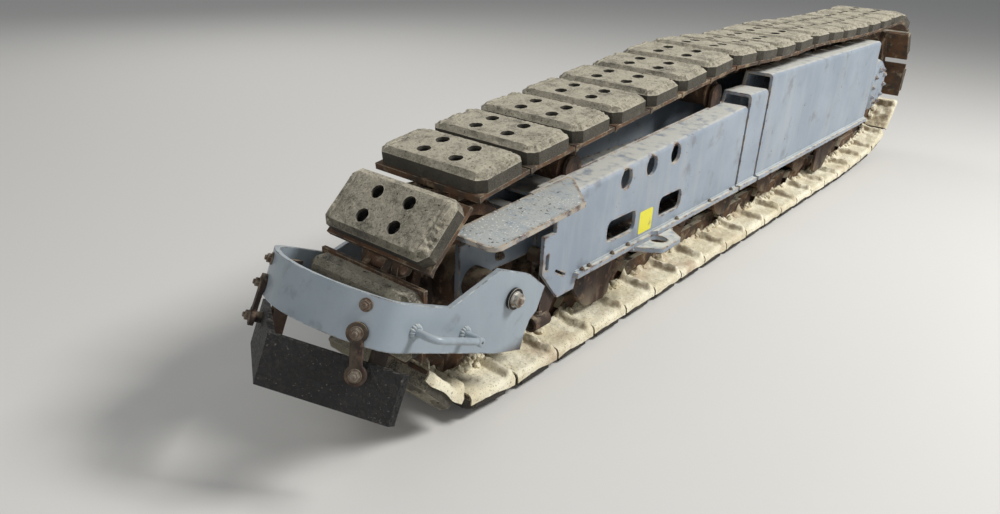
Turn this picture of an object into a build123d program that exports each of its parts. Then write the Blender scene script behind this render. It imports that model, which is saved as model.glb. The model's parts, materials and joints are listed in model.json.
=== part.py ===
from build123d import *
from math import acos, asin, atan, atan2, cos, degrees, dist, hypot, pi, radians, sin, sqrt, tan
import os

os.makedirs("parts", exist_ok=True)

# Left track unit of a tracked road paver, millimetres.
# +X is outboard, -Y is the direction of travel, +Z is up.
# The origin is on the ground, under the track's centreline, in the middle of the roller row.

# Track chain, shoes and rubber pads
link_pitch = 171.45
link_count = 44
bar_inner_x = 20.0
bar_width = 18.0
link_out = 30.0
link_in = 28.0
pin_radius = 17.0
link_nose = 24.0
shoe_width = 320.0
shoe_thick = 10.0
shoe_gap = 6.0
shoe_lip = 5.0
shoe_lip_length = 14.0
pad_thick = 43.0
pad_length = 150.0
pad_corner = 20.0
pad_bevel = 13.0

# Idler at the front, sprocket at the rear
idler_y = -1421.0
idler_pitch_radius = 225.0
idler_lift = 3.0
idler_half_width = 50.0
idler_flange = 13.0
idler_hub_radius = 62.0
sprocket_teeth = 10
sprocket_lift = 28.0
sprocket_width = 34.0
tooth_tip = 11.0
pin_room = 5.0
rail_room = 4.0
seat = 0.3

# Rollers
roller_count = 7
roller_spacing = 388.0
roller_radius = 85.0
roller_groove = 15.0
roller_flange = 10.0
roller_flange_width = 8.0
roller_end_x = 98.0
roller_axle_radius = 28.0
carrier_radius = 40.0
carrier_flange = 8.0
carrier_flange_width = 6.0
carrier_axle_radius = 16.0
sag = 14.0

# Track frame: two long webs, a floor and a deck, with a foot flange for the rollers
plate = 10.0
web_x = 76.0
foot_x = 120.0
frame_front_y = -1195.0
frame_rear_y = 1250.0
floor_z = 300.0
deck_z = 430.0
roller_block_width = 60.0

# Outer side boxes: bent plates that carry the outer face
face_x = 175.0
bend = 15.0
box_front_y = -1285.0
top_front_z = 495.0
top_front_y = -1154.0
top_slope = 0.0636
bottom_front_z = 264.0
bottom_front_y = -1134.0
bottom_slope = 0.006
ledge_x = 190.0
box_gap = 15.0
front_box_end_y = -195.0
middle_box_length = 155.0
middle_top_z = 592.0
rear_top_z = 640.0
rear_box_end_y = 1235.0

# Front end of the front box: its face is notched at the top, bevelled, and hangs below the foot
notch_length = 45.0
notch_z = 411.0
foot_front_y = -1150.0
bevel_z = 314.0
nib_z = 230.0
# The nib's corners behind the box's front end: low front, low rear, and where it meets the foot
nib_places = [71.0, 141.0, 152.0]
# Small slots in its face: place behind the front end, height, length, width and slope in degrees
small_slots = [(17.0, 342.0, 44.0, 13.0, 90.0), (75.0, 297.0, 50.0, 7.0, -30.0)]

# Cut-outs of the front box
slot_height = 60.0
slot_corner = 20.0
slot_z = 343.0
hole_diameter = 57.0
hole_below_top = 33.0
hole_places = [351.0, 481.0, 615.0]
# Each slot: its place behind the box's front end, and its length
slots = [(351.0, 144.0), (621.0, 134.0)]

# Step plate on the top flange
step_inner_x = 110.0
step_outer_x = 240.0
step_front_y = -1545.0
step_rear_y = -1115.0
step_cut = 110.0
step_corner = 25.0

# Tie down eye under the foot
eye_y = -767.0
eye_reach = 75.0
eye_length = 220.0
eye_tip_length = 110.0
eye_thick = 14.0
eye_inner_x = 130.0
eye_corner = 25.0
eye_hole = 52.0
eye_hole_x = 205.0

# Deflector: a bow of plate that swings on the idler axle and carries the plough blade
lift_angle = 23.5
arm_outer_x = 196.0
arm_thick = 12.0
arm_top = -33.0
arm_bottom = -132.0
arm_kink = 205.0
arm_lap = 40.0
# Outline of the arm's head round the pivot, as rearward and upward distances
head_points = [
    (-78, 60), (38, 60), (115, 37), (112, -24), (95, -48), (90, -84), (95, -122), (0, arm_bottom),
]
bow_reach = 435.0
bow_radius = 285.0
bow_corner = 55.0
pivot_radius = 20.0
pivot_clearance = 0.08
sleeve_radius = 40.0
handle_front = 295.0
handle_rear = 138.0
handle_v = -86.0
handle_stand = 52.0
handle_radius = 8.0
handle_bend = 24.0
blade_top = -165.0
blade_bottom = -270.0
blade_thick = 15.0
blade_lead = 42.0
blade_half_width = 225.0
blade_sweep = 34.0
hanger_x = 156.0
hanger_thick = 12.0
hanger_lap = 20.0
hanger_depth = 60.0
hanger_low_depth = 40.0
hanger_foot = 45.0
pad_clearance = 6.0

# Straps from the bow's face down to the blade, as places across and up in the strap's own plane
strap_x = 146.0
strap_top = (0.0, -109.0)
strap_low = (20.0, -187.0)
strap_eye_radius = 21.0
strap_width = 24.0
strap_thick = 10.0
strap_bush_radius = 12.0

# Places of the chain's first joint and of the rollers under the top run
first_joint_y = -1001.1
carrier_y = [-1055.0, -255.0, 435.0]
peak = (-255.0, 662.0)
saddle = (435.0, 664.0)
carrier_bracket_width = 70.0

# Idler, yoke and tensioner
idler_rim = 26.0
idler_rim_slope = 8.0
idler_web = 22.0
idler_hub_slope = 10.0
idler_axle_radius = 35.0
idler_window_count = 6
idler_window_radius = 24.0
yoke_inner_x = 62.0
yoke_outer_x = 75.7
yoke_nose = 49.0
yoke_nose_depth = 61.0
yoke_throat = 70.0
yoke_block_front = -1206.0
yoke_block_length = 45.0
yoke_low_z = 318.0
yoke_high_z = 415.0
tension_rod_radius = 28.0
tension_rod_length = 60.0
tension_barrel_radius = 46.0
tension_barrel_length = 380.0
cap_thick = 8.0
cap_rim = 6.0
cap_bolt_radius = 17.0
cap_bolt_height = 14.0

# Frame details
foot_thick = 14.0
floor_front_y = -1130.0
deck_front_y = -1130.0
roller_block_depth = 20.0
weld_lap = 2.0
roller_shield_z = 155.0
roller_shield_rear_y = -1100.0

# Chain guides: plates under the foot that keep the chain in line, one pair near each end
chain_guide_x = 98.0
chain_guide_thick = 12.0
# Outline, as rearward distances and heights; it starts and ends at the foot
chain_guide_ends = (-1048.0, -850.0)
chain_guide_points = [(-1048, 175), (-993, 104), (-965, 88), (-880, 84), (-855, 100), (-850, 140)]

# Socket tube on a bracket inside the front box's face
socket_radius = 20.0
socket_bore = 13.0
socket_z = 180.0
socket_front_y = -1300.0
socket_length = 62.0
socket_plate = 12.0
# Where its bracket lies on the face: front, rear, low and high
socket_weld = (-1262.0, -1200.0, 252.0, 300.0)

# Drive end and chassis side
drive_flange_radius = 190.0
drive_flange_thick = 22.0
drive_neck_radius = 160.0
drive_collar_radius = 180.0
drive_hub_radius = 150.0
drive_drum_radius = 138.0
drive_drum_length = 40.0
drive_cover_radius = 120.0
drive_cover_edge = 14.0
drive_face_radius = 100.0
drive_cover_x = 120.0
drive_mount_thick = 20.0
drive_mount_front_y = 1050.0
drive_mount_low = 325.0
drive_mount_high = 600.0
drive_mount_radius = 200.0
mount_room = 10.0
motor_radius = 95.0
motor_flange_thick = 40.0
motor_taper = 20.0
motor_body_radius = 83.0
motor_length = 230.0
port_block = 90.0
port_block_width = 110.0
port_block_top = 120.0
stub_spacing = 1300.0
stub_z = 372.0
stub_width = 170.0
stub_height = 110.0
stub_reach = 200.0
stub_wall = 12.0
stub_flange = 250.0
stub_corner = 20.0
stub_flange_thick = 20.0
stub_bolts = 190.0
stub_hole = 22.0

# Sizes that follow
pad_face = link_out + shoe_thick + pad_thick
ground_line = pad_face
idler_z = ground_line + idler_lift + idler_pitch_radius
sprocket_radius = link_pitch / (2 * sin(pi / sprocket_teeth))
sprocket_z = ground_line + sprocket_lift + sprocket_radius
roller_row = [(i - (roller_count - 1) / 2) * roller_spacing for i in range(roller_count)]
chain_half_width = bar_inner_x + 2 * bar_width + seat
web_out_x = web_x + plate
idler_bore = idler_axle_radius + seat
blade_nose = bow_reach + blade_lead
same_place = 0.01


def top_z(y):
    return top_front_z + top_slope * (y - top_front_y)


def bottom_z(y):
    return bottom_front_z + bottom_slope * (y - bottom_front_y)


def touch_angle(centre, radius, point, side):
    # Angle at which a straight run from an outside point touches a circle
    dy, dz = point[0] - centre[0], point[1] - centre[1]
    return atan2(dz, dy) + side * acos(radius / hypot(dy, dz))


def arc_points(centre, radius, start, end, count=360):
    turns = [start + (end - start) * i / count for i in range(count + 1)]
    return [(centre[0] + radius * cos(t), centre[1] + radius * sin(t)) for t in turns]


def hanging(a, b, depth, count=24):
    # Points between two supports, on a run that sags in a parabola
    shares = [i / count for i in range(1, count)]
    return [
        (a[0] + (b[0] - a[0]) * s, a[1] + (b[1] - a[1]) * s - 4 * depth * s * (1 - s))
        for s in shares
    ]


def pitch_line(sprocket_y):
    # The chain's line: bottom run, idler, top run, sprocket and the bottom run again
    idler = (idler_y, idler_z)
    sprocket = (sprocket_y, sprocket_z)
    first = (roller_row[0], ground_line)
    last = (roller_row[-1], ground_line)
    top = (sprocket_y, sprocket_z + sprocket_radius)
    low_front = touch_angle(idler, idler_pitch_radius, first, -1)
    high_front = touch_angle(idler, idler_pitch_radius, peak, 1)
    low_rear = touch_angle(sprocket, sprocket_radius, last, 1)
    line = [last, first]
    line += arc_points(idler, idler_pitch_radius, low_front, high_front - 2 * pi)
    line += [peak] + hanging(peak, saddle, sag) + [saddle] + hanging(saddle, top, sag)
    line += arc_points(sprocket, sprocket_radius, pi / 2, low_rear)
    return line + [last, first]


def walk(line):
    # Joints one pitch apart, as chords of the line, from the first joint on the bottom run
    joints = [(first_joint_y, ground_line)]
    leg = 0
    for step in range(link_count):
        here = start = joints[-1]
        while leg + 2 < len(line) and dist(line[leg + 1], here) < link_pitch:
            leg += 1
            start = line[leg]
        low, high = 0.0, 1.0
        for halving in range(40):
            share = (low + high) / 2
            point = tuple(a + (b - a) * share for a, b in zip(start, line[leg + 1]))
            if dist(point, here) < link_pitch:
                low = share
            else:
                high = share
        joints.append(point)
    return joints


# The sprocket's place along the frame is the one at which the chain closes
sprocket_low, sprocket_high = 1200.0, 2400.0
for halving in range(40):
    sprocket_y = (sprocket_low + sprocket_high) / 2
    joints = walk(pitch_line(sprocket_y))
    if joints[-1][0] > first_joint_y:
        sprocket_high = sprocket_y
    else:
        sprocket_low = sprocket_y
print("sprocket y", round(sprocket_y, 1), "chain closes at", joints[-1])
joints[-1] = joints[0]

links = []
for a, b in zip(joints, joints[1:]):
    turn = atan2(b[1] - a[1], b[0] - a[0])
    links.append((((a[0] + b[0]) / 2, (a[1] + b[1]) / 2), turn))
link_places = [Location((0, mid[0], mid[1]), (degrees(turn), 0, 0)) for mid, turn in links]


def clear_height(y, radius, above):
    # Height of a roller's centre at which it runs a seat's width off the chain's rails
    reach = link_in + radius + seat
    heights = []
    for (mid_y, mid_z), turn in links:
        along = (y - mid_y) * cos(turn)
        if abs(along) < link_pitch / 2 + radius / 4 and (cos(turn) < 0) == above:
            heights.append(mid_z + (y - mid_y) * tan(turn) - reach / cos(turn))
    return max(heights) if above else min(heights)


roller_heights = [clear_height(y, roller_radius, True) for y in roller_row]
carrier_heights = [clear_height(y, carrier_radius, False) for y in carrier_y]


def side_face(points, x):
    # A closed outline in the YZ plane at a given x
    with BuildSketch(Plane.YZ.offset(x)) as face:
        with BuildLine():
            Polyline(*points, close=True)
        make_face()
    return face.sketch


def turned(profile, y, z):
    # A body turned about a cross axis, from a profile of x and radius
    with BuildPart() as body:
        with BuildSketch(Plane(origin=(0, y, z), x_dir=(1, 0, 0), z_dir=(0, -1, 0))):
            with BuildLine():
                Polyline(*profile, close=True)
            make_face()
        revolve(axis=Axis((0, y, z), (1, 0, 0)))
    return body.part


def both_ways(half):
    # A profile that is the same to both sides of x = 0, closed on the axis
    return [(-x, r) for x, r in reversed(half)] + list(half)


def disc_plane(x, y, z):
    return Plane(origin=(x, y, z), x_dir=(0, 1, 0), z_dir=(1, 0, 0))


# Track chain: each link is a pair of bars with a shoe, the pairs lie side by side in turn
half_pitch = link_pitch / 2
half_shoe = (link_pitch - shoe_gap) / 2
lip_end = shoe_lip_length - half_shoe
bar_outline = [
    (-half_pitch - link_nose, 0), (lip_end, link_out), (half_shoe, link_out),
    (half_pitch + link_nose, 0), (half_pitch, -link_in), (-half_pitch, -link_in),
]
shoe_top = link_out + shoe_thick
shoe_outline = [
    (half_shoe, shoe_top), (-half_shoe, shoe_top), (-half_shoe, link_out - shoe_lip),
    (lip_end, link_out), (half_shoe, link_out),
]


def one_link(inner_x, pin_places):
    # The narrow links carry the pins of both their joints, as square bushings
    with BuildPart() as link:
        for x in (inner_x, -inner_x - bar_width):
            extrude(side_face(bar_outline, x), amount=bar_width)
        extrude(side_face(shoe_outline, -shoe_width / 2), amount=shoe_width)
        for y in pin_places:
            with BuildSketch(Plane.YZ.offset(-bar_inner_x)):
                with Locations((y, 0)):
                    RegularPolygon(pin_radius, 4)
            extrude(amount=2 * bar_inner_x)
    return link.part


inner_link = one_link(bar_inner_x, (-half_pitch, half_pitch))
outer_link = one_link(bar_inner_x + bar_width + seat, ())
with BuildPart() as track_chain:
    with Locations(*link_places[0::2]):
        add(inner_link)
    with Locations(*link_places[1::2]):
        add(outer_link)
track_chain.part.label = "track_chain"
export_step(track_chain.part, "parts/track_chain.step")

# Rubber pads, one bolted to each shoe
with BuildPart() as pad:
    with BuildSketch(Plane.XY.offset(shoe_top)) as pad_plan:
        Rectangle(shoe_width, pad_length)
        chamfer(pad_plan.vertices(), pad_corner)
    extrude(amount=pad_thick)
    chamfer(pad.faces().sort_by(Axis.Z)[-1].edges(), pad_bevel)
with BuildPart() as track_pads:
    with Locations(*link_places):
        add(pad.part)
track_pads.part.label = "track_pads"
export_step(track_pads.part, "parts/track_pads.step")

# Idler wheel: tread under both rails, with a guide flange between them
idler_tread = idler_pitch_radius * cos(asin(half_pitch / idler_pitch_radius)) - link_in - seat
guide_x = bar_inner_x - rail_room
with BuildPart() as idler_wheel:
    add(turned(both_ways([
        (guide_x, idler_tread + idler_flange), (bar_inner_x, idler_tread),
        (idler_half_width, idler_tread), (idler_half_width, idler_tread - idler_rim),
        (idler_web / 2, idler_tread - idler_rim - idler_rim_slope),
        (idler_web / 2, idler_hub_radius + idler_hub_slope),
        (yoke_inner_x - seat, idler_hub_radius), (yoke_inner_x - seat, idler_bore),
    ]), idler_y, idler_z))
    with BuildSketch(disc_plane(-idler_web, idler_y, idler_z)):
        with PolarLocations((idler_tread - idler_rim + idler_hub_radius) / 2, idler_window_count):
            Circle(idler_window_radius)
    extrude(amount=2 * idler_web, mode=Mode.SUBTRACT)
idler_wheel.part.label = "idler_wheel"
export_step(idler_wheel.part, "parts/idler_wheel.step")

# Idler axle: it carries the yoke inside and the deflector outside
arm_inner_x = arm_outer_x - arm_thick
with BuildPart() as idler_axle:
    add(turned(both_ways([
        (yoke_outer_x + seat, idler_axle_radius), (yoke_outer_x + seat, sleeve_radius),
        (arm_inner_x - seat, sleeve_radius), (arm_inner_x - seat, pivot_radius),
        (arm_outer_x + seat, pivot_radius), (arm_outer_x + seat, 0),
    ]), idler_y, idler_z))
idler_axle.part.label = "idler_axle"
export_step(idler_axle.part, "parts/idler_axle.step")

# Caps that hold the deflector's arms on the axle
for name, side in (("pivot_cap_outer", 1), ("pivot_cap_inner", -1)):
    with BuildPart() as pivot_cap:
        with BuildSketch(disc_plane(side * (arm_outer_x + seat), idler_y, idler_z)):
            Circle(pivot_radius + cap_rim)
        extrude(amount=side * cap_thick)
        with BuildSketch(disc_plane(side * (arm_outer_x + seat + cap_thick), idler_y, idler_z)):
            RegularPolygon(cap_bolt_radius, 6)
        extrude(amount=side * cap_bolt_height)
    pivot_cap.part.label = name
    export_step(pivot_cap.part, "parts/" + name + ".step")

# Idler yoke: two cheeks on the axle and a cross block behind the wheel
yoke_block_rear = yoke_block_front + yoke_block_length
with BuildPart() as idler_yoke:
    for x in (yoke_inner_x, -yoke_outer_x):
        with BuildSketch(disc_plane(x, idler_y, idler_z)):
            with BuildLine():
                Polyline(
                    (-yoke_nose, -yoke_nose_depth), (-yoke_nose, yoke_high_z - idler_z),
                    (yoke_block_rear - idler_y, yoke_high_z - idler_z),
                    (yoke_block_rear - idler_y, yoke_low_z - idler_z),
                    (yoke_throat, yoke_low_z - idler_z), (yoke_nose, -yoke_nose_depth), close=True,
                )
            make_face()
            Circle(idler_bore, mode=Mode.SUBTRACT)
        extrude(amount=yoke_outer_x - yoke_inner_x)
    extrude(side_face([
        (yoke_block_front, yoke_low_z), (yoke_block_front, yoke_high_z),
        (yoke_block_rear, yoke_high_z), (yoke_block_rear, yoke_low_z),
    ], -yoke_inner_x), amount=2 * yoke_inner_x)
idler_yoke.part.label = "idler_yoke"
export_step(idler_yoke.part, "parts/idler_yoke.step")

# Track tensioner: rod, barrel and end flange between the yoke and the frame's stop
tension_z = (yoke_low_z + yoke_high_z) / 2
with BuildPart() as track_tensioner:
    with BuildSketch(Plane.XZ.offset(-yoke_block_rear).shift_origin((0, yoke_block_rear, tension_z))):
        Circle(tension_rod_radius)
    extrude(amount=-tension_rod_length)
    with BuildSketch(Plane.XZ.offset(-yoke_block_rear - tension_rod_length).shift_origin(
            (0, yoke_block_rear + tension_rod_length, tension_z))):
        Circle(tension_barrel_radius)
    extrude(amount=-tension_barrel_length)
track_tensioner.part.label = "track_tensioner"
export_step(track_tensioner.part, "parts/track_tensioner.step")

# Track frame: two webs with foot flanges, floor, deck, tensioner stop and roller blocks
middle_front_y = front_box_end_y + box_gap
middle_rear_y = front_box_end_y + middle_box_length
rear_front_y = middle_rear_y + box_gap
web_outline = [
    (frame_front_y, top_z(frame_front_y)), (front_box_end_y, top_z(front_box_end_y)),
    (middle_front_y, middle_top_z), (middle_rear_y, middle_top_z),
    (rear_front_y, rear_top_z), (frame_rear_y, rear_top_z),
    (frame_rear_y, bottom_z(frame_rear_y)), (roller_shield_rear_y, bottom_z(roller_shield_rear_y)),
    (roller_shield_rear_y, roller_shield_z), (frame_front_y, roller_shield_z),
]
foot_outline = [
    (foot_front_y, bottom_z(foot_front_y)), (frame_rear_y, bottom_z(frame_rear_y)),
    (frame_rear_y, bottom_z(frame_rear_y) + foot_thick),
    (foot_front_y, bottom_z(foot_front_y) + foot_thick),
]
stop_y = yoke_block_rear + tension_rod_length + tension_barrel_length
block_x = roller_end_x - roller_block_depth
with BuildPart() as track_frame:
    for x in (web_x, -web_out_x):
        extrude(side_face(web_outline, x), amount=plate)
    for x in (web_out_x, -foot_x):
        extrude(side_face(foot_outline, x), amount=foot_x - web_out_x)
    for z, start in ((floor_z, floor_front_y), (deck_z, deck_front_y)):
        with BuildSketch(Plane.XY.offset(z)):
            with Locations((0, (start + frame_rear_y) / 2)):
                Rectangle(2 * web_x, frame_rear_y - start)
        extrude(amount=plate)
    with BuildSketch(Plane.XY.offset(floor_z + plate)):
        with Locations((0, stop_y + plate)):
            Rectangle(2 * web_x, 2 * plate)
    extrude(amount=deck_z - floor_z - plate)
    for y, z in zip(roller_row, roller_heights):
        for x in (block_x, -roller_end_x):
            with BuildSketch(disc_plane(x, y, z)):
                Circle(roller_block_width / 2)
                with Locations((0, (bottom_z(y) + weld_lap - z) / 2)):
                    Rectangle(roller_block_width, bottom_z(y) + weld_lap - z)
            extrude(amount=roller_block_depth)
        with BuildSketch(disc_plane(-roller_end_x, y, z)):
            Circle(roller_axle_radius + seat)
        extrude(amount=2 * roller_end_x, mode=Mode.SUBTRACT)
    for y, z in zip(carrier_y, carrier_heights):
        with BuildSketch(disc_plane(-web_out_x, y, z)):
            Circle(carrier_axle_radius + seat)
        extrude(amount=2 * web_out_x, mode=Mode.SUBTRACT)
track_frame.part.label = "track_frame"
export_step(track_frame.part, "parts/track_frame.step")

# Chain guides under the foot, the rear pair facing the front pair
with BuildPart() as chain_guides:
    for end in (1, -1):
        guide_outline = [(end * y, z) for y, z in chain_guide_points]
        roots = [(end * y, bottom_z(end * y)) for y in chain_guide_ends]
        for x in (chain_guide_x, -chain_guide_x - chain_guide_thick):
            extrude(side_face([roots[0]] + guide_outline + [roots[1]], x), amount=chain_guide_thick)
chain_guides.part.label = "chain_guides"
export_step(chain_guides.part, "parts/chain_guides.step")

# Bottom rollers with flanges outside the rails
flange_x = chain_half_width + rail_room
for i, (y, z) in enumerate(zip(roller_row, roller_heights)):
    with BuildPart() as bottom_roller:
        add(turned(both_ways([
            (guide_x, roller_radius - roller_groove), (guide_x, roller_radius),
            (flange_x, roller_radius), (flange_x, roller_radius + roller_flange),
            (flange_x + roller_flange_width, roller_radius + roller_flange),
            (flange_x + roller_flange_width, roller_axle_radius),
            (roller_end_x, roller_axle_radius), (roller_end_x, 0),
        ]), y, z))
    name = "bottom_roller_" + str(i + 1)
    bottom_roller.part.label = name
    export_step(bottom_roller.part, "parts/" + name + ".step")

# Carrier rollers under the top run
for i, (y, z) in enumerate(zip(carrier_y, carrier_heights)):
    with BuildPart() as carrier_roller:
        add(turned(both_ways([
            (flange_x, carrier_radius), (flange_x, carrier_radius + carrier_flange),
            (flange_x + carrier_flange_width, carrier_radius + carrier_flange),
            (flange_x + carrier_flange_width, carrier_axle_radius),
            (web_out_x, carrier_axle_radius), (web_out_x, 0),
        ]), y, z))
    name = "carrier_roller_" + str(i + 1)
    carrier_roller.part.label = name
    export_step(carrier_roller.part, "parts/" + name + ".step")

# Brackets that stand on the webs and hold the first two carrier rollers
for i in range(2):
    y, z = carrier_y[i], carrier_heights[i]
    half = carrier_bracket_width / 2
    with BuildPart() as carrier_bracket:
        for x in (web_x, -web_out_x):
            with BuildSketch(disc_plane(x, y, z)):
                with BuildLine():
                    Polyline(
                        (-half, top_z(y - half) - z), (half, top_z(y + half) - z),
                        (half, 0), (-half, 0), close=True,
                    )
                make_face()
                Circle(half)
                with BuildLine():
                    Polyline(
                        (-half, top_z(y - half) - z), (half, top_z(y + half) - z),
                        (half, -2 * half), (-half, -2 * half), close=True,
                    )
                make_face(mode=Mode.SUBTRACT)
                Circle(carrier_axle_radius + seat, mode=Mode.SUBTRACT)
            extrude(amount=plate)
    name = "carrier_bracket_" + str(i + 1)
    carrier_bracket.part.label = name
    export_step(carrier_bracket.part, "parts/" + name + ".step")


def channel_section(y, high, low):
    # Bent plate seen along the frame: top flange and outer face, on a foot that runs out past it
    with BuildSketch(Plane(origin=(0, y, 0), x_dir=(1, 0, 0), z_dir=(0, -1, 0))) as section:
        with BuildLine():
            Polyline(
                (web_out_x, high), (face_x, high), (face_x, low + foot_thick),
                (ledge_x, low + foot_thick), (ledge_x, low), (foot_x, low), (foot_x, low + foot_thick),
                (face_x - plate, low + foot_thick), (face_x - plate, high - plate),
                (web_out_x, high - plate), close=True,
            )
        make_face()
        for x, radius in ((face_x, bend), (face_x - plate, bend - plate)):
            side = section.vertices().filter_by(lambda v: abs(v.X - x) < same_place)
            fillet(side.sort_by(Axis.Y)[-1], radius)
    return section.sketch


# The plane under the foot that the tie down eye lies against; its hole goes on through the ledge
eye_slope = atan(bottom_slope)
eye_plane = Plane(origin=(0, eye_y, bottom_z(eye_y)), x_dir=(1, 0, 0),
                  z_dir=(0, -sin(eye_slope), cos(eye_slope)))

# Outer boxes: name, front y, rear y, top height at the front and at the rear
boxes = [
    ("front_side_box", box_front_y, front_box_end_y, top_z(box_front_y), top_z(front_box_end_y)),
    ("middle_side_box", middle_front_y, middle_rear_y, middle_top_z, middle_top_z),
    ("rear_side_box", rear_front_y, rear_box_end_y, rear_top_z, rear_top_z),
]
for name, y0, y1, z0, z1 in boxes:
    with BuildPart() as side_box:
        loft([channel_section(y0, z0, bottom_z(y0)), channel_section(y1, z1, bottom_z(y1))], ruled=True)
        if name == "front_side_box":
            below = [(y0, bevel_z), (foot_front_y, bevel_z), (foot_front_y, 0), (y0, 0)]
            extrude(side_face(below, foot_x), amount=ledge_x - foot_x, mode=Mode.SUBTRACT)
            notch = [
                (y0, notch_z), (y0 + notch_length, notch_z),
                (y0 + notch_length, middle_top_z), (y0, middle_top_z),
            ]
            extrude(side_face(notch, web_x), amount=face_x - web_x, mode=Mode.SUBTRACT)
            nib_front, nib_rear, nib_end = [y0 + place for place in nib_places]
            nib = [
                (y0, bevel_z), (nib_front, nib_z), (nib_rear, nib_z), (nib_end, bottom_z(nib_end)),
                (nib_end, bevel_z),
            ]
            extrude(side_face(nib, face_x - plate), amount=plate)
            for place, z, length, width, slope in small_slots:
                with BuildSketch(disc_plane(face_x - plate, y0 + place, z)):
                    SlotOverall(length, width, rotation=slope)
                extrude(amount=plate, mode=Mode.SUBTRACT)
            for place, length in slots:
                with BuildSketch(disc_plane(face_x - plate, y0 + place, slot_z)):
                    RectangleRounded(length, slot_height, slot_corner)
                extrude(amount=plate, mode=Mode.SUBTRACT)
            with BuildSketch(eye_plane):
                with Locations((eye_hole_x, 0)):
                    Circle(eye_hole / 2)
            extrude(amount=2 * foot_thick, mode=Mode.SUBTRACT)
            for place in hole_places:
                hole_z = top_z(y0 + place) - hole_below_top
                with BuildSketch(disc_plane(face_x - plate, y0 + place, hole_z)):
                    Circle(hole_diameter / 2)
                extrude(amount=plate, mode=Mode.SUBTRACT)
    side_box.part.label = name
    export_step(side_box.part, "parts/" + name + ".step")

# Socket tube, open to the front; its bracket lies against the inside of the front box's face
bracket_x = face_x - plate - socket_plate
socket_rear_y = socket_front_y + socket_length
weld_front, weld_rear, weld_low, weld_high = socket_weld
bracket_outline = [
    (socket_front_y + socket_radius, socket_z), (weld_front, weld_high), (weld_rear, weld_high),
    (weld_rear, weld_low), (socket_rear_y, socket_z),
]
with BuildPart() as socket_tube:
    extrude(side_face(bracket_outline, bracket_x), amount=socket_plate)
    socket_end = Plane(origin=(bracket_x + socket_plate / 2, socket_front_y, socket_z),
                       x_dir=(-1, 0, 0), z_dir=(0, 1, 0))
    for radius, mode in ((socket_radius, Mode.ADD), (socket_bore, Mode.SUBTRACT)):
        with BuildSketch(socket_end):
            Circle(radius)
        extrude(amount=socket_length, mode=mode)
socket_tube.part.label = "socket_tube"
export_step(socket_tube.part, "parts/socket_tube.step")

# Step plate that lies on the front box's top flange and runs out past its face
step_slope = atan(top_slope)
step_length = (step_rear_y - step_front_y) / cos(step_slope)
with BuildPart() as step_plate:
    with BuildSketch(Plane(origin=(0, step_front_y, top_z(step_front_y)), x_dir=(1, 0, 0),
                           z_dir=(0, -sin(step_slope), cos(step_slope)))) as step_plan:
        with BuildLine():
            Polyline(
                (step_inner_x, 0), (step_outer_x, 0), (step_outer_x, step_length - step_cut),
                (step_outer_x - step_cut, step_length), (step_inner_x, step_length), close=True,
            )
        make_face()
        fillet(step_plan.vertices().group_by(Axis.Y)[0].sort_by(Axis.X)[-1], step_corner)
    extrude(amount=plate)
step_plate.part.label = "step_plate"
export_step(step_plate.part, "parts/step_plate.step")

# Tie down eye: a flat plate under the box's foot with its hole outside the face
with BuildPart() as tie_down_eye:
    with BuildSketch(eye_plane) as eye_plan:
        with BuildLine():
            Polyline(
                (eye_inner_x, -eye_length / 2), (face_x, -eye_length / 2),
                (face_x + eye_reach, -eye_tip_length / 2), (face_x + eye_reach, eye_tip_length / 2),
                (face_x, eye_length / 2), (eye_inner_x, eye_length / 2), close=True,
            )
        make_face()
        fillet(eye_plan.vertices().group_by(Axis.X)[-1], eye_corner)
        with Locations((eye_hole_x, 0)):
            Circle(eye_hole / 2, mode=Mode.SUBTRACT)
    extrude(amount=-eye_thick)
tie_down_eye.part.label = "tie_down_eye"
export_step(tie_down_eye.part, "parts/tie_down_eye.step")

# Sprocket: its gaps are at half a pitch, so the chain's pins lie in every second one
meshing = min(joints, key=lambda p: abs(dist(p, (sprocket_y, sprocket_z)) - sprocket_radius))
first_gap = degrees(atan2(meshing[1] - sprocket_z, meshing[0] - sprocket_y))
with BuildPart() as sprocket:
    with BuildSketch(disc_plane(-sprocket_width / 2, sprocket_y, sprocket_z)):
        Circle(sprocket_radius + tooth_tip)
        with PolarLocations(sprocket_radius, 2 * sprocket_teeth, start_angle=first_gap):
            Circle(pin_radius + pin_room, mode=Mode.SUBTRACT)
        Circle(drive_hub_radius + seat, mode=Mode.SUBTRACT)
    extrude(amount=sprocket_width)
sprocket.part.label = "sprocket"
export_step(sprocket.part, "parts/sprocket.step")

# Final drive: flange on the mount plate, hub with the sprocket's shoulder, domed cover
shoulder = sprocket_width / 2
with BuildPart() as final_drive:
    add(turned([
        (-web_out_x, 0), (-web_out_x, drive_flange_radius),
        (drive_flange_thick - web_out_x, drive_flange_radius),
        (drive_flange_thick - web_out_x, drive_neck_radius), (-shoulder - seat, drive_collar_radius),
        (-shoulder - seat, drive_hub_radius), (shoulder, drive_hub_radius),
        (shoulder + drive_drum_length, drive_drum_radius),
        (drive_cover_x - drive_cover_edge, drive_cover_radius), (drive_cover_x, drive_face_radius),
        (drive_cover_x, 0),
    ], sprocket_y, sprocket_z))
final_drive.part.label = "final_drive"
export_step(final_drive.part, "parts/final_drive.step")

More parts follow.
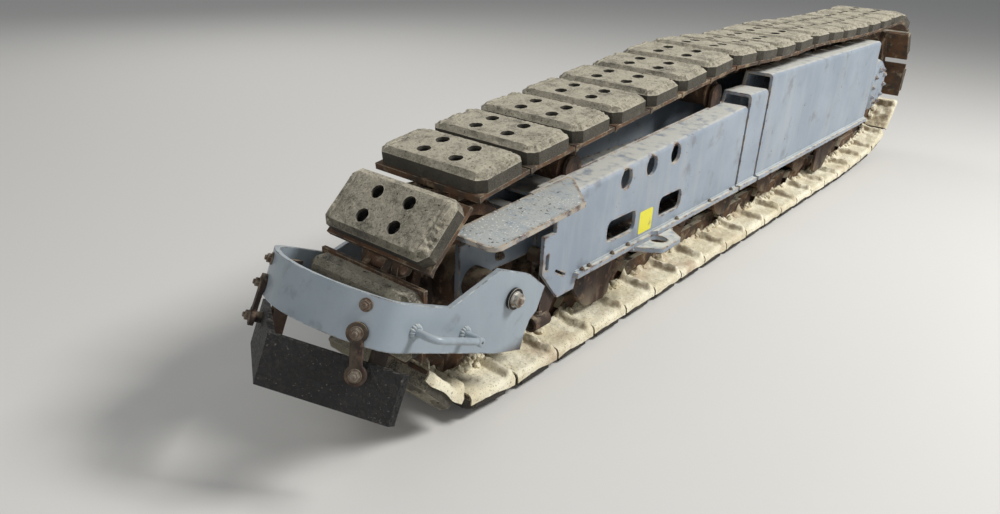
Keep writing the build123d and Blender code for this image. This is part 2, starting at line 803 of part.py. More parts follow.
# Drive mount: plate on the inner web that reaches back to the final drive
mount_in_x = -web_out_x - drive_mount_thick
with BuildPart() as drive_mount:
    with BuildSketch(disc_plane(mount_in_x, sprocket_y, sprocket_z)):
        Circle(drive_mount_radius)
        with BuildLine():
            Polyline(
                (drive_mount_front_y - sprocket_y, drive_mount_low - sprocket_z),
                (frame_rear_y + mount_room - sprocket_y, drive_mount_low - sprocket_z),
                (0, -drive_mount_radius), (0, drive_mount_radius),
                (drive_mount_front_y - sprocket_y, drive_mount_high - sprocket_z), close=True,
            )
        make_face()
        Circle(motor_radius + seat, mode=Mode.SUBTRACT)
    extrude(amount=drive_mount_thick)
drive_mount.part.label = "drive_mount"
export_step(drive_mount.part, "parts/drive_mount.step")

# Hydraulic drive motor on the final drive's inner side, with its port block
with BuildPart() as drive_motor:
    add(turned([
        (-web_out_x, 0), (-web_out_x, motor_radius), (mount_in_x - motor_flange_thick, motor_radius),
        (mount_in_x - motor_flange_thick - motor_taper, motor_body_radius),
        (mount_in_x - motor_length, motor_body_radius), (mount_in_x - motor_length, 0),
    ], sprocket_y, sprocket_z))
    with BuildSketch(Plane.XY.offset(sprocket_z)):
        with Locations((mount_in_x - motor_length + port_block / 2, sprocket_y)):
            Rectangle(port_block, port_block_width)
    extrude(amount=port_block_top)
drive_motor.part.label = "drive_motor"
export_step(drive_motor.part, "parts/drive_motor.step")

# Chassis stubs: box tubes with bolted flanges on the inner web
for name, y in (("chassis_stub_front", -stub_spacing / 2), ("chassis_stub_rear", stub_spacing / 2)):
    with BuildPart() as chassis_stub:
        with BuildSketch(disc_plane(-stub_reach, y, stub_z)):
            Rectangle(stub_width, stub_height)
            Rectangle(stub_width - 2 * stub_wall, stub_height - 2 * stub_wall, mode=Mode.SUBTRACT)
        extrude(amount=stub_reach - web_out_x)
        with BuildSketch(disc_plane(-stub_reach - stub_flange_thick, y, stub_z)):
            RectangleRounded(stub_flange, stub_flange, stub_corner)
            with GridLocations(stub_bolts, stub_bolts, 2, 2):
                Circle(stub_hole / 2, mode=Mode.SUBTRACT)
        extrude(amount=stub_flange_thick)
    chassis_stub.part.label = name
    export_step(chassis_stub.part, "parts/" + name + ".step")

# Deflector frame: r runs rearwards along the arms, v stands square to them
lift = radians(lift_angle)


def arm_side(x):
    return Plane(origin=(x, idler_y, idler_z), x_dir=(0, cos(lift), -sin(lift)), z_dir=(1, 0, 0))


def arm_plan(v):
    origin = (0, idler_y + v * sin(lift), idler_z + v * cos(lift))
    return Plane(origin=origin, x_dir=(1, 0, 0), z_dir=(0, sin(lift), cos(lift)))


bow_centre = bow_reach - bow_radius
bow_side = bow_centre + sqrt(bow_radius ** 2 - arm_outer_x ** 2)
arm_outline = head_points + [
    (-bow_centre - arm_lap, arm_bottom), (-bow_centre - arm_lap, arm_top), (-arm_kink, arm_top),
]
with BuildPart() as deflector_bow:
    with BuildSketch(arm_plan(arm_bottom)) as bow_plan:
        with BuildLine():
            Polyline((arm_outer_x, -bow_side), (arm_outer_x, -bow_centre), (-arm_outer_x, -bow_centre),
                     (-arm_outer_x, -bow_side))
            ThreePointArc((-arm_outer_x, -bow_side), (0, -bow_reach), (arm_outer_x, -bow_side))
        make_face()
        fillet(bow_plan.vertices().group_by(Axis.Y)[0], bow_corner)
        offset(amount=-arm_thick, mode=Mode.SUBTRACT)
        with Locations((0, -bow_centre)):
            Rectangle(2 * arm_inner_x, 2 * arm_lap, mode=Mode.SUBTRACT)
    extrude(amount=arm_top - arm_bottom)
    for x in (arm_inner_x, -arm_outer_x):
        with BuildSketch(arm_side(x)):
            with BuildLine():
                Polyline(*arm_outline, close=True)
            make_face()
            Circle(pivot_radius + pivot_clearance, mode=Mode.SUBTRACT)
        extrude(amount=arm_thick)
deflector_bow.part.label = "deflector_bow"
export_step(deflector_bow.part, "parts/deflector_bow.step")

# Lifting handle on the outer arm
with BuildPart() as deflector_handle:
    with BuildLine(arm_plan(handle_v)) as handle_line:
        FilletPolyline(
            (arm_outer_x, -handle_front), (arm_outer_x + handle_stand, -handle_front),
            (arm_outer_x + handle_stand, -handle_rear), (arm_outer_x, -handle_rear),
            radius=handle_bend,
        )
    with BuildSketch(Plane(handle_line.wire() @ 0, z_dir=handle_line.wire() % 0)):
        Circle(handle_radius)
    sweep(path=handle_line.wire())
deflector_handle.part.label = "deflector_handle"
export_step(deflector_handle.part, "parts/deflector_handle.step")

# Plough blade: two swept wings under the bow
sweep_slope = tan(radians(blade_sweep))
wing_drop = blade_half_width * sweep_slope
blade_depth = blade_thick / cos(radians(blade_sweep))
with BuildPart() as plough_blade:
    with BuildSketch(arm_plan(blade_bottom)):
        with BuildLine():
            Polyline(
                (0, -blade_nose), (blade_half_width, -blade_nose + wing_drop),
                (blade_half_width, -blade_nose + wing_drop + blade_depth),
                (0, -blade_nose + blade_depth),
                (-blade_half_width, -blade_nose + wing_drop + blade_depth),
                (-blade_half_width, -blade_nose + wing_drop), close=True,
            )
        make_face()
    extrude(amount=blade_top - blade_bottom)
plough_blade.part.label = "plough_blade"
export_step(plough_blade.part, "parts/plough_blade.step")

# Hangers that join the blade to the bow, cut clear of the pads that come round the idler
hanger_out_x = hanger_x + hanger_thick / 2
bow_inside = bow_centre + sqrt((bow_radius - arm_thick) ** 2 - hanger_out_x ** 2) - seat
blade_back = blade_nose - hanger_out_x * sweep_slope - blade_depth - seat
hanger_outline = [
    (-bow_inside, arm_top - hanger_lap), (-bow_inside, arm_bottom), (-blade_back, arm_bottom),
    (-blade_back, blade_bottom + hanger_lap),
    (-blade_back + hanger_low_depth, blade_bottom + hanger_foot),
    (-bow_inside + hanger_depth, arm_bottom), (-bow_inside + hanger_depth, arm_top - hanger_lap),
]
idler_chord = sqrt(idler_pitch_radius ** 2 - half_pitch ** 2)
pad_sweep = hypot(idler_chord + pad_face, pad_length / 2 - pad_bevel) + pad_clearance

# Straps in front of the bow, in a plane that touches its outer face at strap_x
strap_turn = asin(strap_x / bow_radius)
strap_front = bow_centre + bow_radius * cos(strap_turn)
strap_face = Plane(
    origin=(strap_x, idler_y - strap_front * cos(lift), idler_z + strap_front * sin(lift)),
    x_dir=(cos(strap_turn), sin(strap_turn) * cos(lift), -sin(strap_turn) * sin(lift)),
    z_dir=(sin(strap_turn), -cos(strap_turn) * cos(lift), cos(strap_turn) * sin(lift)),
).offset(seat)
strap_middle = ((strap_top[0] + strap_low[0]) / 2, (strap_top[1] + strap_low[1]) / 2)
strap_lean = degrees(atan2(strap_low[0] - strap_top[0], strap_top[1] - strap_low[1]))

# A bush fills the room between each strap's foot and the blade, which is swept a little more
bush_x = strap_x + strap_low[0] * cos(strap_turn)
bush_front = strap_front - strap_low[0] * sin(strap_turn)
blade_front = blade_nose - bush_x * sweep_slope
bush_room = (bush_front - blade_front) / (cos(strap_turn) + sin(strap_turn) * sweep_slope)
bush_lean = strap_bush_radius * abs(tan(radians(blade_sweep) - strap_turn))
with BuildPart() as blade_strap:
    with BuildSketch(strap_face):
        with Locations(strap_top, strap_low):
            Circle(strap_eye_radius)
        with Locations(strap_middle):
            Rectangle(strap_width, dist(strap_top, strap_low), rotation=strap_lean)
    extrude(amount=strap_thick)
    with BuildSketch(strap_face):
        with Locations(strap_low):
            Circle(strap_bush_radius)
    extrude(amount=bush_lean - bush_room)

with BuildPart() as blade_hangers:
    for x in (hanger_x - hanger_thick / 2, -hanger_out_x):
        with BuildSketch(arm_side(x)):
            with BuildLine():
                Polyline(*hanger_outline, close=True)
            make_face()
            Circle(pad_sweep, mode=Mode.SUBTRACT)
        extrude(amount=hanger_thick)
    add(blade_strap.part)
    add(mirror(blade_strap.part, about=Plane.YZ, mode=Mode.PRIVATE))
blade_hangers.part.label = "blade_hangers"
export_step(blade_hangers.part, "parts/blade_hangers.step")
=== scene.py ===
import bmesh
import bpy
import json
import math
import random
from mathutils import Matrix, Vector, noise


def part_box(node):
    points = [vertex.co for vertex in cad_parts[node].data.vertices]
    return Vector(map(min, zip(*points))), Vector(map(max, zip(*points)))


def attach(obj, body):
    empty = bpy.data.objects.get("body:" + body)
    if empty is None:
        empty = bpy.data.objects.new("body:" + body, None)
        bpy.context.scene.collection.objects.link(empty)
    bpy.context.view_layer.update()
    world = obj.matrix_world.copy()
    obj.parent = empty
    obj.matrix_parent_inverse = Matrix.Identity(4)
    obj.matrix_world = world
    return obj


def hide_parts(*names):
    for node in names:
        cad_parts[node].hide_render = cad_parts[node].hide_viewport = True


# Crawler track unit of an asphalt paver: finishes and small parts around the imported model, in metres
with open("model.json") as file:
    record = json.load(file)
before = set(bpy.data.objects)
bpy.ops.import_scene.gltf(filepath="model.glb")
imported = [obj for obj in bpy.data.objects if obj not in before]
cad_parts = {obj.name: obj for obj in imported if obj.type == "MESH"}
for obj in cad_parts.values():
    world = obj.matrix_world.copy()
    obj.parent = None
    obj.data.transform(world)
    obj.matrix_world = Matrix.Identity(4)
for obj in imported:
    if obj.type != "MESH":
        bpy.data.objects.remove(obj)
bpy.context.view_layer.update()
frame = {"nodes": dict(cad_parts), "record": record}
nodes = frame["nodes"]
hinge = frame["record"]["behaviour"]["joints"][0]
pivot = Vector(hinge["pos_m"])
lift = math.radians(hinge["range_deg"][1])
print("frame loaded,", len(nodes), "nodes")


def linearColour(hexText):
    # sRGB hex to the linear colour that shaders take
    parts = [int(hexText[i:i + 2], 16) / 255 for i in (0, 2, 4)]
    return [c / 12.92 if c <= 0.04045 else ((c + 0.055) / 1.055) ** 2.4 for c in parts] + [1.0]


def addNode(tree, kind, inputs, output=None, **settings):
    # Adds a shader node and gives back the output asked for; an input is a value, or a socket to link to it
    node = tree.nodes.new("ShaderNode" + kind)
    for key, value in settings.items():
        setattr(node, key, value)
    for key, value in inputs.items():
        if isinstance(value, bpy.types.NodeSocket):
            tree.links.new(value, node.inputs[key])
        else:
            node.inputs[key].default_value = value
    return node.outputs[output] if output else node


# In a look, At is a noise mask: patch size in mm, the two levels that cut it, then detail, roughness and
# upward scale where they differ from 6, 0.6 and 1. Facing says how far a face must turn, Heights where a
# mask is full and where it ends, Mm how far from an edge it reaches, Amount how strongly a colour is laid on.
# A Bump is a relief's height in mm and its strength
def patches(tree, sizeMm, low, high, detail=6.0, roughness=0.6, upward=1.0):
    place = addNode(tree, "TexCoord", {}, "Object")
    spot = addNode(tree, "Mapping", {"Vector": place, "Scale": (1, 1, upward)}, "Vector")
    grain = addNode(tree, "TexNoise", {"Vector": spot, "Scale": 1000 / sizeMm / 2, "Detail": detail,
                                       "Roughness": roughness}, "Fac")
    return addNode(tree, "MapRange", {"Value": grain, "From Min": low, "From Max": high}, "Result",
                   interpolation_type="SMOOTHSTEP")


def edgeMask(tree, radiusMm):
    # How much a rounded normal leaves the true one: high within radiusMm of an edge
    rounded = addNode(tree, "Bevel", {"Radius": radiusMm / 1000}, "Normal", samples=6)
    true = addNode(tree, "NewGeometry", {}, "Normal")
    turn = addNode(tree, "VectorMath", {0: rounded, 1: true}, "Value", operation="DOT_PRODUCT")
    return addNode(tree, "MapRange", {"Value": turn, "From Min": 1.0, "From Max": 0.9}, "Result")


def upMask(tree, low, high, axis="Z"):
    # Rises from low to high with how far a face looks up, where dust settles, or along another axis
    normal = addNode(tree, "NewGeometry", {}, "Normal")
    facing = addNode(tree, "SeparateXYZ", {"Vector": normal}, axis)
    return addNode(tree, "MapRange", {"Value": facing, "From Min": low, "From Max": high}, "Result")


def heightMask(tree, full, none):
    # 1 below the height full and 0 over the height none, in metres
    height = addNode(tree, "SeparateXYZ", {"Vector": addNode(tree, "TexCoord", {}, "Object")}, "Z")
    return addNode(tree, "MapRange", {"Value": height, "From Min": none, "From Max": full}, "Result")


def readMask(tree, look, mask):
    # A mask is a socket, or a key of the look, whose ending says what it describes
    if not isinstance(mask, str):
        return mask
    value = look[mask]
    if mask.endswith("At"):
        return patches(tree, *value)
    if mask.endswith("Facing"):
        return upMask(tree, *value)
    if mask.endswith("Heights"):
        return heightMask(tree, *value)
    return edgeMask(tree, value) if mask.endswith("Mm") else value


def overlap(tree, look, *masks):
    # Where all the masks lie over each other
    joined = readMask(tree, look, masks[0])
    for mask in masks[1:]:
        joined = addNode(tree, "Math", {0: joined, 1: readMask(tree, look, mask)}, "Value",
                         operation="MULTIPLY", use_clamp=True)
    return joined


def layOver(tree, look, base, colour, *masks):
    # Lays a colour over the base where the masks overlap; base and colour are keys of the look, or sockets
    under, over = (linearColour(look[part]) if isinstance(part, str) else part for part in (base, colour))
    return addNode(tree, "Mix", {"Factor": overlap(tree, look, *masks), "A": under, "B": over}, "Result",
                   data_type="RGBA")


def startMaterial(name, metallic=0.0):
    material = bpy.data.materials.new(name)
    material.use_nodes = True
    tree = material.node_tree
    tree.nodes.clear()
    shader = addNode(tree, "BsdfPrincipled", {"Metallic": metallic, "IOR": 1.5})
    addNode(tree, "OutputMaterial", {"Surface": shader.outputs["BSDF"]})
    return material, tree, shader


def endMaterial(tree, shader, look, base, bumps, dull=None):
    # Bumps run from coarse to fine, over edges rounded by softMm; dull is where the finish has lost its gloss
    tree.links.new(base, shader.inputs["Base Color"])
    if dull is None:
        shader.inputs["Roughness"].default_value = look["roughness"]
    else:
        rough = addNode(tree, "MapRange", {"Value": dull, "To Min": look["gloss"], "To Max": look["dull"]},
                        "Result")
        tree.links.new(rough, shader.inputs["Roughness"])
    normal = None
    if "softMm" in look:
        normal = addNode(tree, "Bevel", {"Radius": look["softMm"] / 1000}, "Normal", samples=6)
    for key, *masks in bumps:
        heightMm, strength = look[key]
        bump = addNode(tree, "Bump", {"Height": overlap(tree, look, *masks), "Distance": heightMm / 1000,
                                      "Strength": strength})
        if normal is not None:
            tree.links.new(normal, bump.inputs["Normal"])
        normal = bump.outputs["Normal"]
    tree.links.new(normal, shader.inputs["Normal"])


def makeLayered(name, look):
    # The first colour all over, then each layer in turn: its colour and the masks that say where it lies
    material, tree, shader = startMaterial(name, look.get("metallic", 0.0))
    (base,), *layers = look["layers"]
    for colour, *masks in layers:
        base = layOver(tree, look, base, colour, *masks)
    endMaterial(tree, shader, look, base, look["bumps"])
    return material


# Machine enamel sprayed on hot rolled plate: pale blue grey, rusty cream where its edges are knocked bare
framePaintLook = {
    "paint": "9aa4ae", "shade": "8a95a1", "streak": "b4b6b2", "rust": "7d5a42", "scale": "4b382c",
    "edge": "b9a68a", "dust": "cdcbc0", "dirt": "59493c", "deep": "2d251f", "slurry": "b3a78c",
    "shadeAt": (160, 0.35, 0.65), "streakAt": (26, 0.46, 0.72, 9, 0.6, 0.16), "streakAmount": 0.28,
    "stainAt": (45, 0.56, 0.72, 9), "stainAmount": 0.35, "chipAt": (9, 0.66, 0.69, 8),
    "chipAreaAt": (90, 0.4, 0.62), "rustAt": (10, 0.4, 0.62, 8), "edgeMm": 10, "edgeAt": (12, 0.40, 0.56, 8),
    "rimAt": (18, 0.44, 0.58), "dustFacing": (0.75, 0.98), "dustAt": (16, 0.26, 0.54, 9), "dustAmount": 0.9,
    "grimeHeights": (0.12, 0.20), "grimeAmount": 2.0, "grimeAt": (30, 0.2, 0.8, 8),
    "dirtAt": (25, 0.4, 0.6, 8), "splashFacing": (-0.3, 0.5), "splashAt": (18, 0.52, 0.62, 8),
    "peelAt": (2.5, 0.3, 0.7, 3), "filmBump": (0.5, 0.6), "cakeBump": (1.5, 0.5), "peelBump": (0.12, 0.5),
    "gloss": 0.42, "dull": 0.9, "softMm": 2}
# The track frame behind the boxes: the same enamel, brown with road dirt from the foot down
lowerFrameLook = dict(framePaintLook, chipAt=(9, 0.60, 0.63, 8), grimeHeights=(0.262, 0.30))
# On the deflector the edges are laid pale grey: partly knocked paint, partly a painted highlight along them
deflectorPaintLook = dict(framePaintLook, paint="9ba6ad", shade="919ca4", streak="abb3b7", rust="8b8178",
                          edge="c1c5c4", edgeMm=5, chipAt=(9, 0.72, 0.75, 8), dustAmount=0.25, gloss=0.36)
# Weld beads hold their enamel and catch dust
weldPaintLook = dict(framePaintLook, paint="b0b8bb", shade="98a3a9", edgeMm=1, chipAt=(9, 0.70, 0.73, 8))
# The step is walked on: pitted to dark scale, stone dust in specks
stepPaintLook = dict(framePaintLook, paint="a3adb3", shade="95a1a9", dust="bcbcb3", edgeMm=18, dustAmount=0.7,
                     gloss=0.5, chipAt=(9, 0.60, 0.63, 8), edgeAt=(12, 0.30, 0.46, 8),
                     speck="ebe8df", speckAt=(2.6, 0.58, 0.66, 2), treadAt=(55, 0.34, 0.54, 5),
                     pit="2e2823", pitAt=(4.6, 0.60, 0.66, 4), pitAreaAt=(70, 0.36, 0.60, 4))


def makePaint(name, look):
    material, tree, shader = startMaterial(name)
    base = layOver(tree, look, "paint", "shade", "shadeAt")
    base = layOver(tree, look, base, "streak", "streakAt", "streakAmount")
    base = layOver(tree, look, base, "scale", "stainAt", "stainAmount")
    rust = layOver(tree, look, "rust", "scale", "rustAt")
    chips = overlap(tree, look, "chipAt", "chipAreaAt")
    base = layOver(tree, look, base, rust, chips)
    settled = overlap(tree, look, "dustFacing", "dustAt", "dustAmount")
    base = layOver(tree, look, base, "dust", settled)
    edges = overlap(tree, look, "edgeMm", "edgeAt")
    base = layOver(tree, look, base, layOver(tree, look, "edge", rust, "rimAt"), edges)
    if "speck" in look:
        base = layOver(tree, look, base, "speck", "speckAt", "dustFacing", "treadAt")
        base = layOver(tree, look, base, "pit", "pitAt", "dustFacing", "pitAreaAt")
    low = overlap(tree, look, "grimeHeights", "grimeAmount")
    ragged = addNode(tree, "Math", {0: readMask(tree, look, "grimeAt"), 1: low}, "Value",
                     operation="ADD", use_clamp=True)
    grime = overlap(tree, look, low, ragged)
    dirt = layOver(tree, look, "deep", "dirt", "dirtAt")
    dirt = layOver(tree, look, dirt, "slurry", "splashAt", "splashFacing")
    base = layOver(tree, look, base, dirt, grime)
    bare = addNode(tree, "Math", {0: chips, 1: edges}, "Value", operation="MAXIMUM")
    caked = addNode(tree, "Math", {0: settled, 1: grime}, "Value", operation="MAXIMUM")
    dull = addNode(tree, "Math", {0: bare, 1: caked}, "Value", operation="MAXIMUM")
    film = addNode(tree, "Math", {0: 1.0, 1: bare}, "Value", operation="SUBTRACT")
    bumps = [("filmBump", film), ("cakeBump", caked), ("peelBump", "peelAt")]
    endMaterial(tree, shader, look, base, bumps, dull)
    return material


# Moulded rubber ground grey by the road: coarse stone grit, dark pits, pale dust where it lies level; the
# upright sides darker, partly as rubber the road has not worn pale and partly as painted shade
rubberLook = {
    "rubber": "544f46", "worn": "87816f", "side": "3c3831", "dust": "b1a995", "grain": "cbc3ae",
    "pit": "37332c", "ground": "37332e", "wornAt": (45, 0.34, 0.58, 10), "sideLoss": 0.5,
    "sidePaintedShadeAt": (30, 0.20, 0.50, 9), "sidePaintedShadeAmount": 0.8, "dustAt": (26, 0.34, 0.56, 10, 0.7),
    "dustFacing": (0.2, 0.9), "gritAt": (1.7, 0.46, 0.66, 4, 0.75), "gritFacing": (-0.1, 0.6),
    "gritAmount": 0.6, "pitAt": (2.7, 0.54, 0.66, 5, 0.7), "pitAmount": 0.7, "holeAt": (7, 0.66, 0.70),
    "edgeMm": 4, "edgeAt": (15, 0.35, 0.55), "edgeAmount": 0.7, "groundHeights": (0.036, 0.060),
    "groundAt": (30, 0.3, 0.5), "swellAt": (20, 0.3, 0.7, 10), "swellBump": (2.5, 0.7),
    "gritBump": (0.6, 0.6), "pitBump": (1.2, 0.8), "roughness": 0.92}


def makeRubber(name, look):
    material, tree, shader = startMaterial(name)
    side = addNode(tree, "Attribute", {}, "Fac", attribute_name="sideShade")
    faded = addNode(tree, "Math", {0: 1.0, 1: overlap(tree, look, side, "sideLoss")}, "Value",
                    operation="SUBTRACT")
    base = layOver(tree, look, "rubber", "worn", "wornAt", faded)
    # Painted shade: the upright sides laid on a dark colour
    base = layOver(tree, look, base, "side", side, "sidePaintedShadeAt", "sidePaintedShadeAmount")
    base = layOver(tree, look, base, "dust", "dustAt", "dustFacing")
    base = layOver(tree, look, base, "grain", "gritAt", "gritFacing", "gritAmount")
    specks = overlap(tree, look, "pitAt", "pitAmount")
    pits = addNode(tree, "Math", {0: specks, 1: readMask(tree, look, "holeAt")}, "Value", operation="MAXIMUM")
    base = layOver(tree, look, base, "pit", pits)
    rims = overlap(tree, look, "edgeMm", "edgeAt", "edgeAmount")
    rims = addNode(tree, "Math", {0: rims, 1: side}, "Value", operation="SUBTRACT", use_clamp=True)
    base = layOver(tree, look, base, "grain", rims)
    base = layOver(tree, look, base, "ground", "groundHeights", "groundAt")
    whole = addNode(tree, "Math", {0: 1.0, 1: pits}, "Value", operation="SUBTRACT")
    bumps = [("swellBump", "swellAt"), ("gritBump", "gritAt"), ("pitBump", whole)]
    endMaterial(tree, shader, look, base, bumps)
    return material


# Forged and rolled track steel: brown rust, pale dried slurry where it lies level near the ground
chainLook = {
    "steel": "45392f", "rust": "62462f", "dust": "8a7a62", "slurry": "c4baa0", "rustAt": (30, 0.4, 0.6, 8),
    "dustAt": (18, 0.52, 0.68, 8), "cakeFacing": (0.2, 0.8), "cakeHeights": (0.10, 0.14),
    "cakeAt": (30, 0.36, 0.48, 9), "edgeMm": 3, "edgeAt": (12, 0.40, 0.58), "edgeAmount": 0.6,
    "scaleAt": (12, 0.3, 0.7, 10), "scaleBump": (2.0, 0.6), "cakeBump": (2.0, 0.7), "roughness": 0.85,
    "softMm": 3,
    "layers": [("steel",), ("rust", "rustAt"), ("dust", "dustAt"),
               ("slurry", "cakeFacing", "cakeHeights", "cakeAt"),
               ("slurry", "edgeMm", "edgeAt", "edgeAmount")],
    "bumps": [("scaleBump", "scaleAt"), ("cakeBump", "cakeFacing", "cakeHeights", "cakeAt")]}

# Stone slurry from cut and milled road, dried to a chalky cream crust with damp brown stains; its forward
# facing slopes, the crests' fronts, are laid brown as painted shade
slurryLook = {
    "pale": "f2ead0", "mid": "dcd1b2", "stain": "bba488", "grit": "978d77", "damp": "85755d",
    "midAt": (55, 0.40, 0.62, 9), "stainAt": (80, 0.54, 0.72, 9), "stainAmount": 0.8,
    "gritAt": (2.4, 0.56, 0.68, 5), "paintedShadeFacing": (-0.25, -0.90, "Y"), "paintedShadeAt": (20, 0.30, 0.60),
    "hollowAt": (16, 0.64, 0.74, 9), "clodAt": (14, 0.3, 0.7, 10), "clodBump": (3.0, 0.7),
    "gritBump": (0.6, 0.5), "roughness": 0.95,
    "layers": [("pale",), ("mid", "midAt"), ("stain", "stainAt", "stainAmount"), ("grit", "gritAt"),
               # Damp brown in random hollows, and as painted shade on faces that look forward
               ("damp", "paintedShadeFacing", "paintedShadeAt"), ("damp", "hollowAt")],
    "bumps": [("clodBump", "clodAt"), ("gritBump", "gritAt")]}

# Bare castings and plate gone brown, with dark grease in the hollows and slurry thrown up from below
rustyCastLook = {
    "rust": "5c4332", "deep": "2f241d", "pale": "7d624a", "dust": "8f8068", "splash": "8d7f68",
    "rustAt": (60, 0.38, 0.62, 8, 0.6, 0.4), "paleAt": (14, 0.54, 0.66, 8), "dustFacing": (0.2, 0.9),
    "dustAt": (20, 0.42, 0.6, 8), "splashHeights": (0.05, 0.15), "splashAt": (35, 0.42, 0.58, 9, 0.6, 0.35),
    "grainAt": (4, 0.3, 0.7), "grainBump": (0.8, 0.6), "splashBump": (2.0, 0.6), "roughness": 0.82,
    "softMm": 3,
    "layers": [("deep",), ("rust", "rustAt"), ("pale", "paleAt"), ("dust", "dustFacing", "dustAt"),
               ("splash", "splashHeights", "splashAt")],
    "bumps": [("grainBump", "grainAt"), ("splashBump", "splashHeights", "splashAt")]}
rustyPlateLook = dict(rustyCastLook, rust="47352a", deep="231b17", pale="624a3a", dust="8a7b64",
                      grainAt=(7, 0.3, 0.7))

# Zinc plated bolts gone dull
zincLook = {
    "zinc": "756c61", "rust": "513a2c", "dust": "a89d86", "rustAt": (9, 0.36, 0.58, 8), "edgeMm": 2,
    "edgeAmount": 0.6, "grainAt": (3, 0.3, 0.7), "grainBump": (0.3, 0.5), "metallic": 0.3, "roughness": 0.6,
    "softMm": 1, "layers": [("zinc",), ("rust", "rustAt"), ("dust", "edgeMm", "edgeAmount")],
    "bumps": [("grainBump", "grainAt")]}

# Printed vinyl label left blank, dusty
vinylLook = {
    "label": "e6dc3c", "dirt": "a89a45", "dirtAt": (12, 0.52, 0.70, 8), "rippleAt": (20, 0.3, 0.7),
    "rippleBump": (0.2, 0.4), "roughness": 0.45, "layers": [("label",), ("dirt", "dirtAt")],
    "bumps": [("rippleBump", "rippleAt")]}

# Plate thick with bitumen and grit: near black, lumpy, half shiny where it is fresh
tarLook = {
    "tar": "030303", "dry": "0b0a0a", "dust": "5c564f", "lumpAt": (12, 0.35, 0.65, 8),
    "gritAt": (4, 0.50, 0.62, 4), "speckAt": (3.2, 0.66, 0.70, 2), "dustFacing": (0.1, 0.9), "edgeMm": 3,
    "lumpBump": (3.0, 0.8), "gritBump": (1.2, 0.7), "gloss": 0.55, "dull": 0.9}
# The pads' bolt pockets hold packed dirt and old grease; their near black lining is also painted shade deep
# in the pockets
pocketDirtAndShadeLook = dict(tarLook, tar="0f0e0c", dry="1f1b17", dust="332d26", lumpAt=(9, 0.35, 0.65, 8),
                      gritAt=(3, 0.50, 0.62, 4), speckAt=(2.4, 0.66, 0.70, 2))


def makeTar(name, look):
    material, tree, shader = startMaterial(name)
    level, rims = readMask(tree, look, "dustFacing"), readMask(tree, look, "edgeMm")
    catching = addNode(tree, "Math", {0: level, 1: rims}, "Value", operation="MAXIMUM")
    base = layOver(tree, look, "tar", "dry", "lumpAt")
    base = layOver(tree, look, base, "dust", "gritAt", catching)
    base = layOver(tree, look, base, "dust", "speckAt")
    bumps = [("lumpBump", "lumpAt"), ("gritBump", "gritAt")]
    endMaterial(tree, shader, look, base, bumps, readMask(tree, look, "gritAt"))
    return material


# Turned steel, stained brown and rubbed bright on its rims; the bright nut ends in grease between two radii
pinLook = {
    "steel": "cdc9c0", "stain": "8a7b6b", "grease": "23201d", "stainAt": (12, 0.44, 0.62, 8),
    "greaseFrom": 0.0185, "greaseTo": 0.0195, "edgeMm": 2, "stainBump": (0.2, 0.5), "metallic": 0.5,
    "gloss": 0.38, "dull": 0.75, "softMm": 1.2}


def makePinSteel(name, look):
    material, tree, shader = startMaterial(name, look["metallic"])
    base = layOver(tree, look, "steel", "stain", "stainAt")
    place = addNode(tree, "TexCoord", {}, "Object")
    spot = addNode(tree, "Mapping", {"Vector": place, "Location": (0, -pivot.y, -pivot.z),
                                     "Scale": (0, 1, 1)}, "Vector")
    out = addNode(tree, "VectorMath", {0: spot}, "Value", operation="LENGTH")
    greased = addNode(tree, "MapRange", {"Value": out, "From Min": look["greaseFrom"],
                                         "From Max": look["greaseTo"]}, "Result")
    greased = addNode(tree, "Math", {0: greased, 1: readMask(tree, look, "edgeMm")}, "Value",
                      operation="SUBTRACT", use_clamp=True)
    base = layOver(tree, look, base, "grease", greased)
    endMaterial(tree, shader, look, base, [("stainBump", "stainAt")], readMask(tree, look, "stainAt"))
    return material


finishRows = [
    ("framePaint", makePaint, framePaintLook), ("lowerFramePaint", makePaint, lowerFrameLook),
    ("deflectorPaint", makePaint, deflectorPaintLook), ("stepPaint", makePaint, stepPaintLook),
    ("weldPaint", makePaint, weldPaintLook), ("groundRubber", makeRubber, rubberLook),
    ("pocketDirtAndShade", makeTar, pocketDirtAndShadeLook), ("trackSteel", makeLayered, chainLook),
    ("driedSlurry", makeLayered, slurryLook), ("rustyCasting", makeLayered, rustyCastLook),
    ("rustyPlate", makeLayered, rustyPlateLook), ("tarredPlate", makeTar, tarLook),
    ("turnedSteel", makePinSteel, pinLook), ("boltSteel", makeLayered, zincLook),
    ("vinylLabel", makeLayered, vinylLook)]
finishes = {name: make(name, look) for name, make, look in finishRows}
print("materials made,", len(finishes))

nodesWith = {
    "trackSteel": ("track_chain", "sprocket"), "groundRubber": ("track_pads",), "stepPaint": ("step_plate",),
    "rustyCasting": ("idler_wheel", "track_tensioner", "drive_motor"), "lowerFramePaint": ("track_frame",),
    "rustyPlate": ("idler_axle", "chain_guides", "socket_tube", "blade_hangers"),
    "turnedSteel": ("pivot_cap_outer", "pivot_cap_inner"), "tarredPlate": ("plough_blade",),
    "deflectorPaint": ("deflector_bow", "deflector_handle")}
nodeFinishes = {name: finish for finish, names in nodesWith.items() for name in names}
for name, node in nodes.items():
    finish = nodeFinishes.get(name, "framePaint")
    if "roller" in name:
        finish = "rustyCasting"
    if "bracket" in name:
        finish = "rustyPlate"
    node.data.materials.clear()
    node.data.materials.append(finishes[finish])


touch = 0.0001  # how near counts as lying on a face


def deselectAll():
    bpy.ops.object.select_all(action="DESELECT")


def makeActive(piece):
    deselectAll()
    piece.select_set(True)
    bpy.context.view_layer.objects.active = piece


def setMode(mode):
    bpy.ops.object.mode_set(mode=mode)


